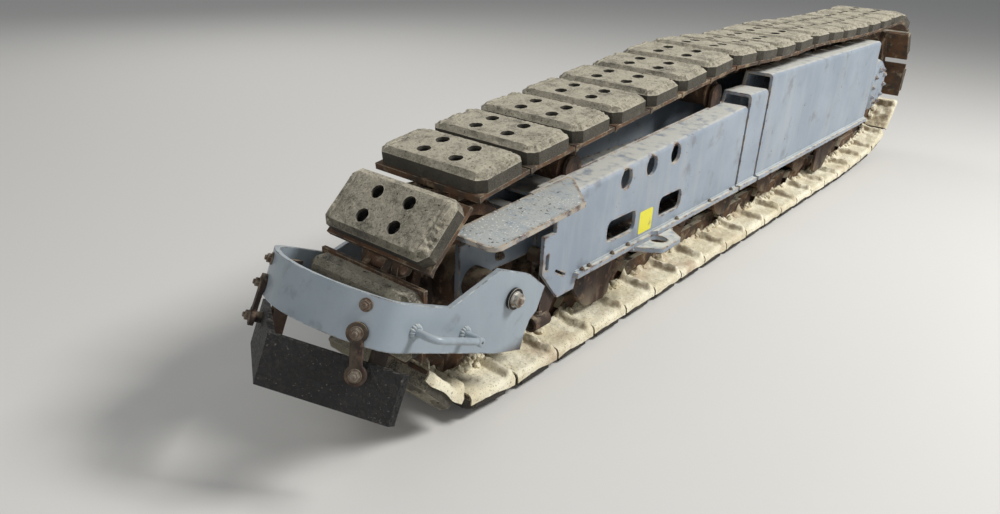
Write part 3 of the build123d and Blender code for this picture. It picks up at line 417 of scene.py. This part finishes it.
def pick(piece, kind, test):
    # In edit mode: selects the vertices, edges or faces whose middle passes the test
    bpy.ops.mesh.select_mode(type=kind)
    bpy.ops.mesh.select_all(action="DESELECT")
    shape = bmesh.from_edit_mesh(piece.data)
    parts = {"VERT": shape.verts, "EDGE": shape.edges, "FACE": shape.faces}[kind]
    for part in parts:
        corners = [part.co] if kind == "VERT" else [v.co for v in part.verts]
        if test(sum(corners, Vector()) / len(corners)):
            part.select_set(True)
    shape.select_flush_mode()
    bmesh.update_edit_mesh(piece.data)


def bevelEdges(piece, offset, segments, test):
    pick(piece, "EDGE", test)
    bpy.ops.mesh.bevel(offset=offset, segments=segments, affect="EDGES")


def startBlock(size):
    # A box left in edit mode
    deselectAll()
    bpy.ops.mesh.primitive_cube_add(size=1, location=(0, 0, 0))
    setMode("EDIT")
    bpy.ops.transform.resize(value=size)
    return bpy.context.active_object


def addCylinder(corners, radius, depth, middle=(0, 0, 0)):
    deselectAll()
    bpy.ops.mesh.primitive_cylinder_add(vertices=corners, radius=radius, depth=depth, location=middle)
    return bpy.context.active_object


def smoothBelow(piece, degrees):
    makeActive(piece)
    bpy.ops.object.shade_smooth_by_angle(angle=math.radians(degrees))


def joinPieces(parts, name):
    deselectAll()
    for part in parts:
        part.select_set(True)
    bpy.context.view_layer.objects.active = parts[0]
    if len(parts) > 1:
        bpy.ops.object.join()
    piece = bpy.context.view_layer.objects.active
    bpy.ops.object.transform_apply(location=True, rotation=True, scale=True)
    piece.name = name
    return piece


def finishPiece(piece, finish, body):
    piece.data.materials.clear()
    piece.data.materials.append(finishes[finish])
    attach(piece, body)


def applyModifiers(piece):
    bpy.context.view_layer.objects.active = piece
    for modifier in list(piece.modifiers):
        bpy.ops.object.modifier_apply(modifier=modifier.name)


def ramp(value, start, run):
    # 0 up to the start, then rising to 1 over the run
    return min(1.0, max(0.0, (value - start) / run))


def noiseShift(look, variant):
    # Where in the noise a variant reads: step and start on each axis
    return Vector([variant * step + start for step, start in look["noiseSteps"]])


def copyTo(source, placesToFill, name):
    # One copy with its own mesh at each place, joined
    copies = []
    for place in placesToFill:
        copy = source.copy()
        copy.data = source.data.copy()
        copy.data.transform(place)
        bpy.context.collection.objects.link(copy)
        copies.append(copy)
    return joinPieces(copies, name)


def setOut(model, placesToFill, name, finish, body):
    finishPiece(copyTo(model, placesToFill, name), finish, body)
    print(name, "made,", len(placesToFill))


def copyVariants(make, look, placesToFill, name):
    # The same piece in a few variants, dealt out in turn along the chain
    models = [make(look, i) for i in range(look["variants"])]
    groups = [copyTo(model, placesToFill[i::look["variants"]], name) for i, model in enumerate(models)]
    for model in models:
        bpy.data.objects.remove(model)
    return joinPieces(groups, name)


# Rubber road pads on every shoe, with four bolt pockets each and chewed outer edges. A key's Scale is how
# fast the noise runs, per metre; rim is a pad's end, edge its long side, side its upright faces, laid dark as
# unworn rubber and as painted shade
padLook = {
    "standOff": 0.040, "width": 0.320, "length": 0.150, "thick": 0.043, "corner": 0.027, "bevel": 0.013,
    "holeRadius": 0.0165, "holeX": 0.0483, "holeY": 0.0305, "holeDepth": 0.036, "gridDepth": 7,
    "gridFill": 0.99, "topDrop": 0.014, "topRun": 0.008, "rimX": 0.122, "rimRun": 0.03, "rimLoss": 0.001,
    "rimPull": 0.5, "bevelX": 0.13, "bevelY": 0.07,
    "edgeY": 0.058, "edgeRun": 0.012, "edgeShare": 0.4, "chew": 0.011, "tornScale": 38, "shredScale": 95,
    "shredShare": 0.6, "pock": 0.0022, "pockScale": 120, "grooveX": 0.133, "grooveHalf": 0.004,
    "grooveDepth": 0.0035, "wander": 0.005, "wanderScale": 25, "wanderStep": 2.3,
    "noiseSteps": ((3.1, 0), (1.7, 0), (0, 0.4)), "variants": 4, "triangles": 4300, "smooth": 32,
    "sideTilt": 0.4, "sideDrop": 0.009}


def splitIslands(shape):
    # The corners of each loose part of a mesh
    bmesh.ops.remove_doubles(shape, verts=shape.verts, dist=0.00002)
    seen = set()
    islands = []
    for start in shape.verts:
        island, edge = [], [start] if start not in seen else []
        seen.update(edge)
        while edge:
            vert = edge.pop()
            island.append(vert.co.copy())
            others = [link.other_vert(vert) for link in vert.link_edges]
            edge += [other for other in others if other not in seen]
            seen.update(others)
        if island:
            islands.append(island)
    return islands


def linkPlaces(look):
    # Each shoe's place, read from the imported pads: its link's middle on the pitch line, turned outwards
    shape = bmesh.new()
    shape.from_mesh(nodes["track_pads"].data)
    pads = splitIslands(shape)
    shape.free()
    middles = [sum(pad, Vector()) / len(pad) for pad in pads]
    loopMiddle = sum(middles, Vector()) / len(middles)
    across = Vector((1, 0, 0))
    found = []
    for pad, middle in zip(pads, middles):
        flat = max((a - b for a in pad for b in pad if abs(a.x - b.x) < 0.001
                    and abs((a - b).length - look["length"]) < 0.0005), key=lambda d: d.length)
        outward = across.cross(Vector((0, flat.y, flat.z)).normalized())
        if outward.dot(middle - loopMiddle) < 0:
            outward = -outward
        inner = min(outward.dot(p - middle) for p in pad)
        origin = middle + outward * (inner - look["standOff"])
        turn = Matrix((across, outward.cross(across), outward)).transposed().to_4x4()
        found.append(Matrix.Translation(origin) @ turn)
    return found


def padHoles(look):
    return [(x, y) for x in (-look["holeX"], look["holeX"]) for y in (-look["holeY"], look["holeY"])]


def modelPad(look, variant):
    top = look["standOff"] + look["thick"]
    middleZ = look["standOff"] + look["thick"] / 2
    pad = startBlock((look["width"], look["length"], look["thick"]))
    bpy.ops.transform.translate(value=(0, 0, middleZ))
    bevelEdges(pad, look["corner"] / math.sqrt(2), 1, lambda p: abs(p.z - middleZ) < touch)
    bevelEdges(pad, look["bevel"], 1, lambda p: abs(p.z - top) < touch
               and (abs(p.x) > look["bevelX"] or abs(p.y) > look["bevelY"]))
    setMode("OBJECT")
    cutters = [addCylinder(32, look["holeRadius"], 2 * look["holeDepth"], (x, y, top))
               for x, y in padHoles(look)]
    cutter = joinPieces(cutters, "padCutter")
    cut = pad.modifiers.new("holes", "BOOLEAN")
    cut.operation = "DIFFERENCE"
    cut.object = cutter
    cut.solver = "EXACT"
    grid = pad.modifiers.new("grid", "REMESH")
    grid.mode = "SHARP"
    grid.octree_depth = look["gridDepth"]
    grid.scale = look["gridFill"]
    grid.use_remove_disconnected = False
    applyModifiers(pad)
    bpy.data.objects.remove(cutter)
    shift = noiseShift(look, variant)
    for vert in pad.data.vertices:
        co = vert.co
        along = Vector((0, co.y * look["wanderScale"], variant * look["wanderStep"]))
        wander = look["wander"] * noise.noise(along)
        groove = max(0.0, 1 - abs(abs(co.x) - look["grooveX"] - wander) / look["grooveHalf"])
        onTop = ramp(co.z - top, -look["topDrop"], look["topRun"])
        rim = ramp(abs(co.x), look["rimX"], look["rimRun"]) * onTop
        edge = ramp(abs(co.y), look["edgeY"], look["edgeRun"]) * onTop
        shreds = look["shredShare"] * noise.noise(co * look["shredScale"] + shift)
        torn = max(0.0, noise.noise(co * look["tornScale"] + shift) + shreds)
        chew = rim * (look["rimLoss"] + look["chew"] * torn) + edge * look["edgeShare"] * look["chew"] * torn
        pock = look["pock"] * max(0.0, noise.noise(co * look["pockScale"] + shift)) * onTop
        vert.co = co + Vector((-math.copysign(1, co.x) * chew * look["rimPull"] * rim, 0,
                               -chew - pock - groove * onTop * look["grooveDepth"]))
    thin = pad.modifiers.new("thin", "DECIMATE")
    thin.ratio = look["triangles"] / sum(len(face.vertices) - 2 for face in pad.data.polygons)
    applyModifiers(pad)
    smoothBelow(pad, look["smooth"])
    # Marks the upright faces below the top, which the rubber lays darker: partly unworn rubber, partly
    # painted shade
    shade = pad.data.attributes.new("sideShade", "FLOAT", "FACE")
    for face, entry in zip(pad.data.polygons, shade.data):
        upright = abs(face.normal.z) < look["sideTilt"]
        entry.value = 1.0 if upright and face.center.z < top - look["sideDrop"] else 0.0
    return pad


places = linkPlaces(padLook)
print("links found,", len(places))
rubberPads = copyVariants(modelPad, padLook, places, "rubberPads")
finishPiece(rubberPads, "groundRubber", "root")
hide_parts("track_pads")
print("pads made,", len(places))

# A dark lining in each pad's bolt pockets, partly packed dirt and partly painted shade, with the hexagon head
# at the bottom
pocketLook = {"radius": 0.0169, "lip": 0.007, "floor": 0.012, "sleeve": 0.0012, "bottom": 0.003,
              "headAcross": 0.019, "head": 0.009}


def modelPocket(look):
    low = padLook["standOff"] + look["floor"]
    high = padLook["standOff"] + padLook["thick"] - look["lip"]
    sleeve = addCylinder(20, look["radius"], high - low, (0, 0, (low + high) / 2))
    setMode("EDIT")
    pick(sleeve, "FACE", lambda p: p.z > (high - low) / 2 - touch)
    bpy.ops.mesh.inset(thickness=look["sleeve"])
    bpy.ops.mesh.extrude_region_move(TRANSFORM_OT_translate={"value": (0, 0, low - high + look["bottom"])})
    setMode("OBJECT")
    head = addCylinder(6, look["headAcross"] / math.sqrt(3), look["head"],
                       (0, 0, low + look["bottom"] + look["head"] / 2))
    return joinPieces([sleeve, head], "pocket")


pocket = modelPocket(pocketLook)
inHoles = [place @ Matrix.Translation((x, y, 0)) for place in places for x, y in padHoles(padLook)]
setOut(pocket, inHoles, "padPockets", "pocketDirtAndShade", "root")
bpy.data.objects.remove(pocket)

# Chain pins and their bushings, one at each joint of the chain
chainPinLook = {"bushing": 0.0195, "bushingHalf": 0.0199, "pin": 0.0125, "pinHalf": 0.0605, "rim": 0.0025,
                "slope": 0.0045, "dish": 0.002, "halfPitch": 0.171450 / 2}


def modelPin(look):
    bushing = addCylinder(20, look["bushing"], 2 * look["bushingHalf"])
    pin = addCylinder(16, look["pin"], 2 * look["pinHalf"])
    setMode("EDIT")
    pick(pin, "FACE", lambda p: abs(p.z) > look["pinHalf"] - touch)
    bpy.ops.mesh.inset(thickness=look["rim"], use_individual=True)
    bpy.ops.mesh.inset(thickness=look["slope"], depth=-look["dish"], use_individual=True)
    setMode("OBJECT")
    piece = joinPieces([bushing, pin], "chainPin")
    piece.data.transform(Matrix.Rotation(math.radians(90), 4, "Y"))
    return piece


chainPin = modelPin(chainPinLook)
atJoint = Matrix.Translation((0, chainPinLook["halfPitch"], 0))
setOut(chainPin, [place @ atJoint for place in places], "chainPins", "rustyCasting", "root")
bpy.data.objects.remove(chainPin)

# Crust of dried slurry on the inner side of the low shoes: banked against the links, with a crest at the gap,
# hanging over the shoe's outer edge. Level and Swing are a part's even share and the noise's
crustLook = {
    "lowFacing": -0.55, "inner": 0.0570, "outer": 0.1570, "front": 0.0815, "rear": -0.0825, "shoeFace": 0.030,
    "thin": 0.0012, "lumps": 0.0040, "dip": -0.2, "roughScale": 38, "fine": 0.0012, "fineScale": 130,
    "bank": 0.018, "bankInner": 0.012, "bankWidth": 0.012, "bankLevel": 0.65, "bankSwing": 0.9,
    "crest": 0.021, "crestAt": -0.063, "crestFront": 0.0100, "crestRear": 0.0125, "crestLevel": 0.95,
    "crestSwing": 0.35, "crestScale": 30, "wander": 0.006, "wanderScale": 22, "fadeRun": 0.006,
    "fadeLeast": 0.25, "drapeRun": 0.018, "drape": 0.024, "drapeLevel": 0.85, "drapeSwing": 0.35,
    "drapeScale": 16, "lip": 0.0055, "lipRise": 3, "ragged": 0.0015, "raggedScale": 90, "bodyThick": 0.0035,
    "cellsX": 28, "cellsY": 36, "variants": 5, "smooth": 50, "noiseSteps": ((5.3, 0), (2.9, 0), (1.1, 0))}


def crustHeight(look, x, y, shift):
    # Height over the shoe's inner face at a place on it
    rough = noise.noise(Vector((x * look["roughScale"], y * look["roughScale"], 0)) + shift)
    fine = noise.noise(Vector((x * look["fineScale"], y * look["fineScale"], 5)) + shift)
    fall = math.exp(-(x - look["inner"]) / look["bankWidth"])
    bank = look["bank"] * fall * (look["bankLevel"] + look["bankSwing"] * rough)
    wander = look["wander"] * noise.noise(Vector((x * look["wanderScale"], 3, 4)) + shift)
    ahead = y - look["crestAt"] - wander
    away = ahead / look["crestFront"] if ahead > 0 else ahead / look["crestRear"]
    uneven = noise.noise(Vector((x * look["crestScale"], 0, 9)) + shift)
    crest = look["crest"] * math.exp(-away ** 2) * (look["crestLevel"] + look["crestSwing"] * uneven)
    lumps = look["lumps"] * max(look["dip"], rough)
    return look["thin"] + max(0.0, bank) + crest + lumps + look["fine"] * fine


def modelCrust(look, variant):
    shift = noiseShift(look, variant)
    deselectAll()
    bpy.ops.mesh.primitive_grid_add(x_subdivisions=look["cellsX"], y_subdivisions=look["cellsY"], size=1,
                                    location=(0, 0, 0))
    crust = bpy.context.active_object
    setMode("EDIT")
    outerEnd = look["outer"] + look["drapeRun"]
    bpy.ops.transform.resize(value=(outerEnd - look["inner"], look["front"] - look["rear"], 1))
    bpy.ops.transform.translate(value=((outerEnd + look["inner"]) / 2, (look["front"] + look["rear"]) / 2, 0))
    setMode("OBJECT")
    for vert in crust.data.vertices:
        x, y = vert.co.x, vert.co.y
        edge = ramp(min(look["front"] - y, y - look["rear"]), 0.0, look["fadeRun"])
        over = max(0.0, (x - look["outer"]) / look["drapeRun"])
        height = crustHeight(look, min(x, look["outer"]), y, shift)
        height = height * (look["fadeLeast"] + (1 - look["fadeLeast"]) * edge)
        sway = noise.noise(Vector((3, y * look["drapeScale"], 3)) + shift)
        hang = look["drape"] * (look["drapeLevel"] + look["drapeSwing"] * sway)
        rag = noise.noise(Vector((x * look["raggedScale"], y * look["raggedScale"], 8)))
        out = look["lip"] * min(1.0, look["lipRise"] * over) + look["ragged"] * over * rag
        vert.co = Vector((min(x, look["outer"]) + out, y,
                          look["shoeFace"] - height * max(0.0, 1 - 2 * over) + over * hang))
    body = crust.modifiers.new("body", "SOLIDIFY")
    body.thickness = look["bodyThick"]
    applyModifiers(crust)
    smoothBelow(crust, look["smooth"])
    return crust


lowPlaces = [place for place in places if place.col[2].z < crustLook["lowFacing"]]
mirrorAcross = Matrix.Scale(-1, 4, (1, 0, 0))
crusts = copyVariants(modelCrust, crustLook, lowPlaces, "driedSlurry")
otherSide = copyVariants(modelCrust, dict(crustLook, bank=crustLook["bankInner"]),
                         [place @ mirrorAcross for place in lowPlaces[::-1]], "driedSlurryInner")
for part in (crusts, otherSide):
    makeActive(part)
    setMode("EDIT")
    bpy.ops.mesh.select_all(action="SELECT")
    bpy.ops.mesh.normals_make_consistent(inside=False)
    setMode("OBJECT")
finishPiece(joinPieces([crusts, otherSide], "driedSlurry"), "driedSlurry", "root")
print("slurry made on", len(lowPlaces), "shoes")

# Lumps of slurry flung against the links, and a curl of it that stands on the foremost low shoe
lumpLook = {
    "cuts": 3, "knobs": 0.45, "knobScale": 1.3, "fineScale": 3.1, "fineShare": 0.5, "variants": 4,
    "noiseSteps": ((4.7, 0), (2.2, 0), (0, 1.3)), "smooth": 50, "perShoe": 6, "size": (0.006, 0.014),
    "x": (0.058, 0.072), "y": (-0.070, 0.074), "z": 0.027, "sink": 0.5, "long": (0.8, 1.6),
    "tall": (0.8, 1.5), "spin": (0, 3), "seed": 11,
    # x, y, z and size of the curl's lumps, in mm
    "curlMm": [[72, -1418, 50, 22], [70, -1428, 66, 18], [70, -1433, 82, 15], [72, -1429, 96, 13],
               [76, -1416, 105, 11], [80, -1400, 104, 9], [83, -1388, 97, 7]]}


def modelLump(look, variant):
    deselectAll()
    bpy.ops.mesh.primitive_ico_sphere_add(subdivisions=look["cuts"], radius=1, location=(0, 0, 0))
    lump = bpy.context.active_object
    shift = noiseShift(look, variant)
    for vert in lump.data.vertices:
        fine = look["fineShare"] * noise.noise(vert.co * look["fineScale"] + shift)
        vert.co = vert.co * (1 + look["knobs"] * (noise.noise(vert.co * look["knobScale"] + shift) + fine))
    smoothBelow(lump, look["smooth"])
    return lump


draw = random.Random(lumpLook["seed"])
lumpPlaces = []
for place in lowPlaces:
    for i in range(lumpLook["perShoe"]):
        size = draw.uniform(*lumpLook["size"])
        spot = Matrix.Translation((draw.uniform(*lumpLook["x"]), draw.uniform(*lumpLook["y"]),
                                   lumpLook["z"] - size * lumpLook["sink"]))
        form = Matrix.Diagonal((size, size * draw.uniform(*lumpLook["long"]),
                                size * draw.uniform(*lumpLook["tall"]), 1))
        lumpPlaces.append(place @ spot @ Matrix.Rotation(draw.uniform(*lumpLook["spin"]), 4, "Z") @ form)
for x, y, z, size in lumpLook["curlMm"]:
    lumpPlaces.append(Matrix.Translation((x / 1000, y / 1000, z / 1000)) @ Matrix.Scale(size / 1000, 4))
slurryLumps = copyVariants(modelLump, lumpLook, lumpPlaces, "slurryLumps")
finishPiece(slurryLumps, "driedSlurry", "root")
print("slurry lumps made,", len(lumpPlaces))


def standOn(point, axis, size=1.0, spin=0.0):
    # A place whose own Z points along the axis
    turn = Vector(axis).to_track_quat("Z", "Y").to_matrix().to_4x4()
    return Matrix.Translation(point) @ turn @ Matrix.Rotation(spin, 4, "Z") @ Matrix.Scale(size, 4)


def ring(centre, x, radius, count, side, size):
    # Places round an axis across the machine, facing the side
    y, z = centre
    turns = [2 * math.pi * i / count for i in range(count)]
    return [standOn((x, y + radius * math.cos(t), z + radius * math.sin(t)), (side, 0, 0), size, t)
            for t in turns]


def onArm(x, rearward, upward):
    # A point in the deflector's own frame, which is lifted with its arms
    return pivot + Vector((x, rearward * math.cos(lift) + upward * math.sin(lift),
                           upward * math.cos(lift) - rearward * math.sin(lift)))


# Bolt with hexagon head, washer and stud end; a row's size scales it, so 1 is a 24 mm spanner
boltLook = {"across": 0.024, "head": 0.0105, "washer": 0.003, "washerRadius": 0.0175, "stud": 0.006,
            "studShare": 0.3}


def modelBolt(look):
    top = look["washer"] + look["head"]
    # Washer, head and stud: corners, radius, lower and upper end, and how far the upper rim is softened
    rows = [(24, look["washerRadius"], 0.0, look["washer"], 0.0006),
            (6, look["across"] / math.sqrt(3), look["washer"], top, 0.0016),
            (14, look["across"] * look["studShare"], top, top + look["stud"], 0.0012)]
    parts = []
    for corners, radius, low, high, soften in rows:
        part = addCylinder(corners, radius, high - low, (0, 0, (high + low) / 2))
        setMode("EDIT")
        bevelEdges(part, soften, 1, lambda p: abs(p.z - (high - low) / 2) < touch)
        setMode("OBJECT")
        parts.append(part)
    return joinPieces(parts, "bolt")


# Where the deflector's straps hang: the bow's centre and radius, and the bolts as along, up and out
bowLook = {"centre": 0.150, "radius": 0.285, "strapX": 0.146, "size": 0.78, "spin": 20,
           "bolts": ((0, -0.054, 0.0005), (0, -0.109, 0.0103), (0.020, -0.187, 0.0103))}
strapTurn = math.asin(bowLook["strapX"] / bowLook["radius"])


def onBow(side, along, upward, out):
    # A point in front of the bow, on the flat that touches it where the straps hang
    front = bowLook["centre"] + bowLook["radius"] * math.cos(strapTurn)
    x = bowLook["strapX"] + along * math.cos(strapTurn) + out * math.sin(strapTurn)
    rearward = -front + along * math.sin(strapTurn) - out * math.cos(strapTurn)
    return onArm(side * x, rearward, upward)


def bowFacing(side):
    return onArm(side * math.sin(strapTurn), -math.cos(strapTurn), 0) - pivot


def rollerBolts(look):
    # Two on each end of each bottom roller's axle
    rows = []
    for i in range(1, 8):
        low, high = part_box("bottom_roller_" + str(i))
        middle = [(low[k] + high[k]) / 2 for k in range(3)]
        for side, end in ((1, high[0]), (-1, low[0])):
            rows += [standOn((end, middle[1] + dy, middle[2] + look["rise"]), (side, 0, 0), look["size"],
                             dy * look["spin"]) for dy in (-look["spread"], look["spread"])]
    return rows


rollerBoltLook = {"spread": 0.017, "rise": 0.004, "size": 0.62, "spin": 40}
driveLow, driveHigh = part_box("final_drive")
driveCentre = ((driveLow[1] + driveHigh[1]) / 2, (driveLow[2] + driveHigh[2]) / 2)
# Rings of bolts on the drive's face, the sprocket and the mount: x, radius, count, side and size
driveRings = [(driveHigh[0], 0.082, 10, 1, 0.75), (0.017, 0.168, 16, 1, 0.8),
              (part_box("drive_mount")[0][0], 0.150, 14, -1, 0.9)]
pivotBoltLook = {"inset": 0.0135, "size": 0.98}
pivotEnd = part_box("pivot_cap_outer")[1][0] - pivotBoltLook["inset"]
# Along the box's foot, which rises to the rear by this much a metre
footLook = {"x": 0.1822, "z": 0.2785, "rise": 0.006, "start": -1.13, "size": 0.42, "spin": 9,
            "y": (-0.98, -0.90, -0.62, -0.40, -0.24)}
# Bolts that stand alone on the frame: place, the way they face, size and turn
up, left = (0, 0, 1), (1, 0, 0)
loneBolts = [((0.1825, -1.122, 0.2785), up, 0.42, 0), ((0.1825, -1.0905, 0.2785), up, 0.42, 1)]
loneBolts += [((footLook["x"], y, footLook["z"] + footLook["rise"] * (y - footLook["start"])), up,
               footLook["size"], y * footLook["spin"]) for y in footLook["y"]]
loneBolts += [((0.0757, -1.330, 0.350), left, 0.8, -1.330), ((0.0757, -1.330, 0.388), left, 0.8, -1.330),
              ((0.159, -1.270, 0.1995), up, 0.75, 0)]
boltRows = [
    {"name": "driveBolts", "body": "root", "slot": "frame_paint", "finish": "framePaint",
     "places": [place for row in driveRings for place in ring(driveCentre, *row)]},
    {"name": "frameBolts", "body": "root", "slot": "rusty_steel", "finish": "boltSteel",
     "places": rollerBolts(rollerBoltLook) + [standOn(*row) for row in loneBolts]},
    {"name": "deflectorBolts", "body": "deflector", "slot": "rusty_steel", "finish": "boltSteel",
     "places": [standOn(onBow(side, *spot), bowFacing(side), bowLook["size"], spot[1] * bowLook["spin"])
                for side in (1, -1) for spot in bowLook["bolts"]]},
    {"name": "pivotEnds", "body": "root", "slot": "pin_steel", "finish": "turnedSteel",
     "places": [standOn((side * pivotEnd, pivot.y, pivot.z), (side, 0, 0), pivotBoltLook["size"])
                for side in (1, -1)]},
]
bolt = modelBolt(boltLook)
for row in boltRows:
    setOut(bolt, row["places"], row["name"], row["finish"], row["body"])
bpy.data.objects.remove(bolt)

# Weld beads: flattened coins of metal laid over each other along a seam
beadLook = {"radius": 0.0042, "step": 0.0028, "flatten": (1.0, 0.55, 0.9), "noiseScale": 90, "grow": 0.12,
            "collarGrow": 0.1, "stray": 0.0005, "strayScale": 60, "strayStart": (7, 0, 0)}


def modelCoin(look):
    deselectAll()
    bpy.ops.mesh.primitive_uv_sphere_add(segments=10, ring_count=6, radius=look["radius"], location=(0, 0, 0))
    coin = bpy.context.active_object
    setMode("EDIT")
    bpy.ops.mesh.select_all(action="SELECT")
    bpy.ops.transform.resize(value=look["flatten"])
    setMode("OBJECT")
    bpy.ops.object.shade_smooth()
    return coin


def layCoin(point, ahead, size):
    turn = ahead.to_track_quat("Y", "Z").to_matrix().to_4x4()
    return Matrix.Translation(point) @ turn @ Matrix.Scale(size, 4)


def seam(look, start, end, size):
    # Places of coins from start to end, each a little off the line and the size
    start, end = Vector(start), Vector(end)
    count = max(2, int((end - start).length / (look["step"] * size)))
    rows = []
    for i in range(count + 1):
        point = start.lerp(end, i / count)
        stray = look["stray"] * noise.noise(point * look["strayScale"] + Vector(look["strayStart"]))
        grow = size * (1 + look["grow"] * noise.noise(point * look["noiseScale"]))
        rows.append(layCoin(point + Vector((0, 0, stray)), end - start, grow))
    return rows


def collar(look, centre, across, up, radius, size):
    # Places of coins round a bar's foot
    count = int(2 * math.pi * radius / (look["step"] * size))
    rows = []
    for i in range(count):
        t = 2 * math.pi * i / count
        point = centre + across * radius * math.cos(t) + up * radius * math.sin(t)
        grow = size * (1 + look["collarGrow"] * noise.noise(point * look["noiseScale"]))
        rows.append(layCoin(point, up * math.cos(t) - across * math.sin(t), grow))
    return rows


coin = modelCoin(beadLook)
# Along the box's foot, which rises to the rear, and under the tie-down eye: start, end and size
frameSeams = [
    ((0.1752, -1.145, 0.2783), (0.1752, -0.20, 0.2839), 1.0),
    ((0.1752, -0.185, 0.2840), (0.1752, -0.045, 0.2849), 1.0),
    ((0.1752, -0.022, 0.2850), (0.1752, 1.23, 0.2923), 1.3),
    ((0.1755, -0.877, 0.2605), (0.1895, -0.877, 0.2605), 0.9),
    ((0.1755, -0.657, 0.2605), (0.1895, -0.657, 0.2605), 0.9)]
handleLook = {"collarX": 0.1977, "feet": (-0.295, -0.138), "upward": -0.086, "collar": 0.0100, "size": 1.7}
armAlong = onArm(0, 1, 0) - pivot
armUp = onArm(0, 0, 1) - pivot
handleCoins = []
for rearward in handleLook["feet"]:
    foot = onArm(handleLook["collarX"], rearward, handleLook["upward"])
    handleCoins += collar(beadLook, foot, armAlong, armUp, handleLook["collar"], handleLook["size"])
frameCoins = [coinPlace for row in frameSeams for coinPlace in seam(beadLook, *row)]
for name, body, coinPlaces in (("frameWelds", "root", frameCoins), ("handleWelds", "deflector", handleCoins)):
    setOut(coin, coinPlaces, name, "weldPaint", body)
bpy.data.objects.remove(coin)

# Blank yellow label on the front box's face, with rounded corners
labelLook = {"middle": (0.1751, -0.802, 0.3235), "length": 0.072, "height": 0.067, "thick": 0.0006,
             "corner": 0.006}


def modelLabel(look):
    label = startBlock((look["thick"], look["length"], look["height"]))
    bevelEdges(label, look["corner"], 4, lambda p: abs(p.x) < touch)
    setMode("OBJECT")
    label.data.transform(Matrix.Translation(look["middle"]))
    label.name = "blankLabel"
    return label


finishPiece(modelLabel(labelLook), "vinylLabel", "root")
print("label made")

# Rusty pin end that stands out of the frame in front of the box
rodLook = {"start": (0.086, -1.213, 0.3225), "length": 0.034, "radius": 0.020, "soften": 0.005,
           "smooth": 40}


def modelRod(look):
    middle = (0, 0, look["length"] / 2)
    rod = addCylinder(28, look["radius"], look["length"], middle)
    setMode("EDIT")
    bevelEdges(rod, look["soften"], 3, lambda p: p.z > look["length"] / 2 - touch)
    setMode("OBJECT")
    rod.data.transform(standOn(look["start"], (1, 0, 0)) @ Matrix.Translation(middle))
    rod.location = (0, 0, 0)
    rod.name = "frontPinEnd"
    smoothBelow(rod, look["smooth"])
    return rod


finishPiece(modelRod(rodLook), "rustyPlate", "root")
print("pin end made")

# Flattened rear end of the lifting handle, drilled through
tipLook = {"radius": 0.0105, "thick": 0.013, "hole": 0.0028, "holeDepth": 0.008, "soften": 0.0035,
           "place": (0.2505, -0.151, -0.086), "smooth": 40}


def modelTip(look):
    tip = addCylinder(28, look["radius"], look["thick"])
    setMode("EDIT")
    bevelEdges(tip, look["soften"], 3, lambda p: abs(p.z) > look["thick"] / 2 - touch)
    pick(tip, "FACE", lambda p: p.z > look["thick"] / 2 - touch)
    bpy.ops.mesh.inset(thickness=look["radius"] - look["soften"] - look["hole"])
    bpy.ops.mesh.extrude_region_move(TRANSFORM_OT_translate={"value": (0, 0, -look["holeDepth"])})
    setMode("OBJECT")
    tip.data.transform(standOn(onArm(*look["place"]), (1, 0, 0)))
    tip.name = "handleTip"
    smoothBelow(tip, look["smooth"])
    return tip


finishPiece(modelTip(tipLook), "deflectorPaint", "deflector")
print("handle tip made")

# Camera solved from the photograph
cameraLook = {"place": (1.1353, -2.6486, 1.1008), "aim": (-0.3879, -0.7448, 0.0), "roll": 2.897,
              "lens": 27.854, "sensor": 36.0, "shiftY": 0.003}


def aimAt(place, aim):
    return (Vector(aim) - Vector(place)).to_track_quat("-Z", "Y")


cameraData = bpy.data.cameras.new("camera")
camera = bpy.data.objects.new("camera", cameraData)
bpy.context.collection.objects.link(camera)
cameraData.lens = cameraLook["lens"]
cameraData.sensor_width = cameraLook["sensor"]
cameraData.shift_y = cameraLook["shiftY"]
level = aimAt(cameraLook["place"], cameraLook["aim"]).to_matrix().to_4x4()
camera.matrix_world = (Matrix.Translation(cameraLook["place"]) @ level
                       @ Matrix.Rotation(math.radians(cameraLook["roll"]), 4, "Z"))
bpy.context.scene.camera = camera

# Plain floor, even sky and soft studio lamps
studioLook = {"floor": "d9d6d0", "floorRoughness": 0.9, "floorSize": 60, "sky": "dfe4ea", "skyStrength": 0.30}
deselectAll()
bpy.ops.mesh.primitive_plane_add(size=studioLook["floorSize"], location=(0, 0, 0))
floor = bpy.context.active_object
floor.name = "studioFloor"
floorMaterial, tree, shader = startMaterial("studioFloorPaint")
shader.inputs["Base Color"].default_value = linearColour(studioLook["floor"])
shader.inputs["Roughness"].default_value = studioLook["floorRoughness"]
floor.data.materials.append(floorMaterial)

lamps = [
    {"name": "keyLamp", "place": (3.6, 1.4, 4.6), "aim": (0, -0.6, 0.3), "size": 1.6, "power": 350},
    {"name": "fillLamp", "place": (1.5, -5.5, 2.6), "aim": (0, -0.8, 0.3), "size": 3.0, "power": 50},
    {"name": "backLamp", "place": (-4.5, 1.0, 3.5), "aim": (0, 0, 0.3), "size": 3.0, "power": 60},
]
for look in lamps:
    lampData = bpy.data.lights.new(look["name"], "AREA")
    lampData.size = look["size"]
    lampData.energy = look["power"]
    lamp = bpy.data.objects.new(look["name"], lampData)
    lamp.location = look["place"]
    lamp.rotation_euler = aimAt(look["place"], look["aim"]).to_euler()
    bpy.context.collection.objects.link(lamp)

world = bpy.data.worlds.new("studioWorld")
world.use_nodes = True
bpy.context.scene.world = world
background = world.node_tree.nodes["Background"]
background.inputs["Color"].default_value = linearColour(studioLook["sky"])
background.inputs["Strength"].default_value = studioLook["skyStrength"]
bpy.context.scene.view_settings.view_transform = "Standard"
print("camera and lamps set")
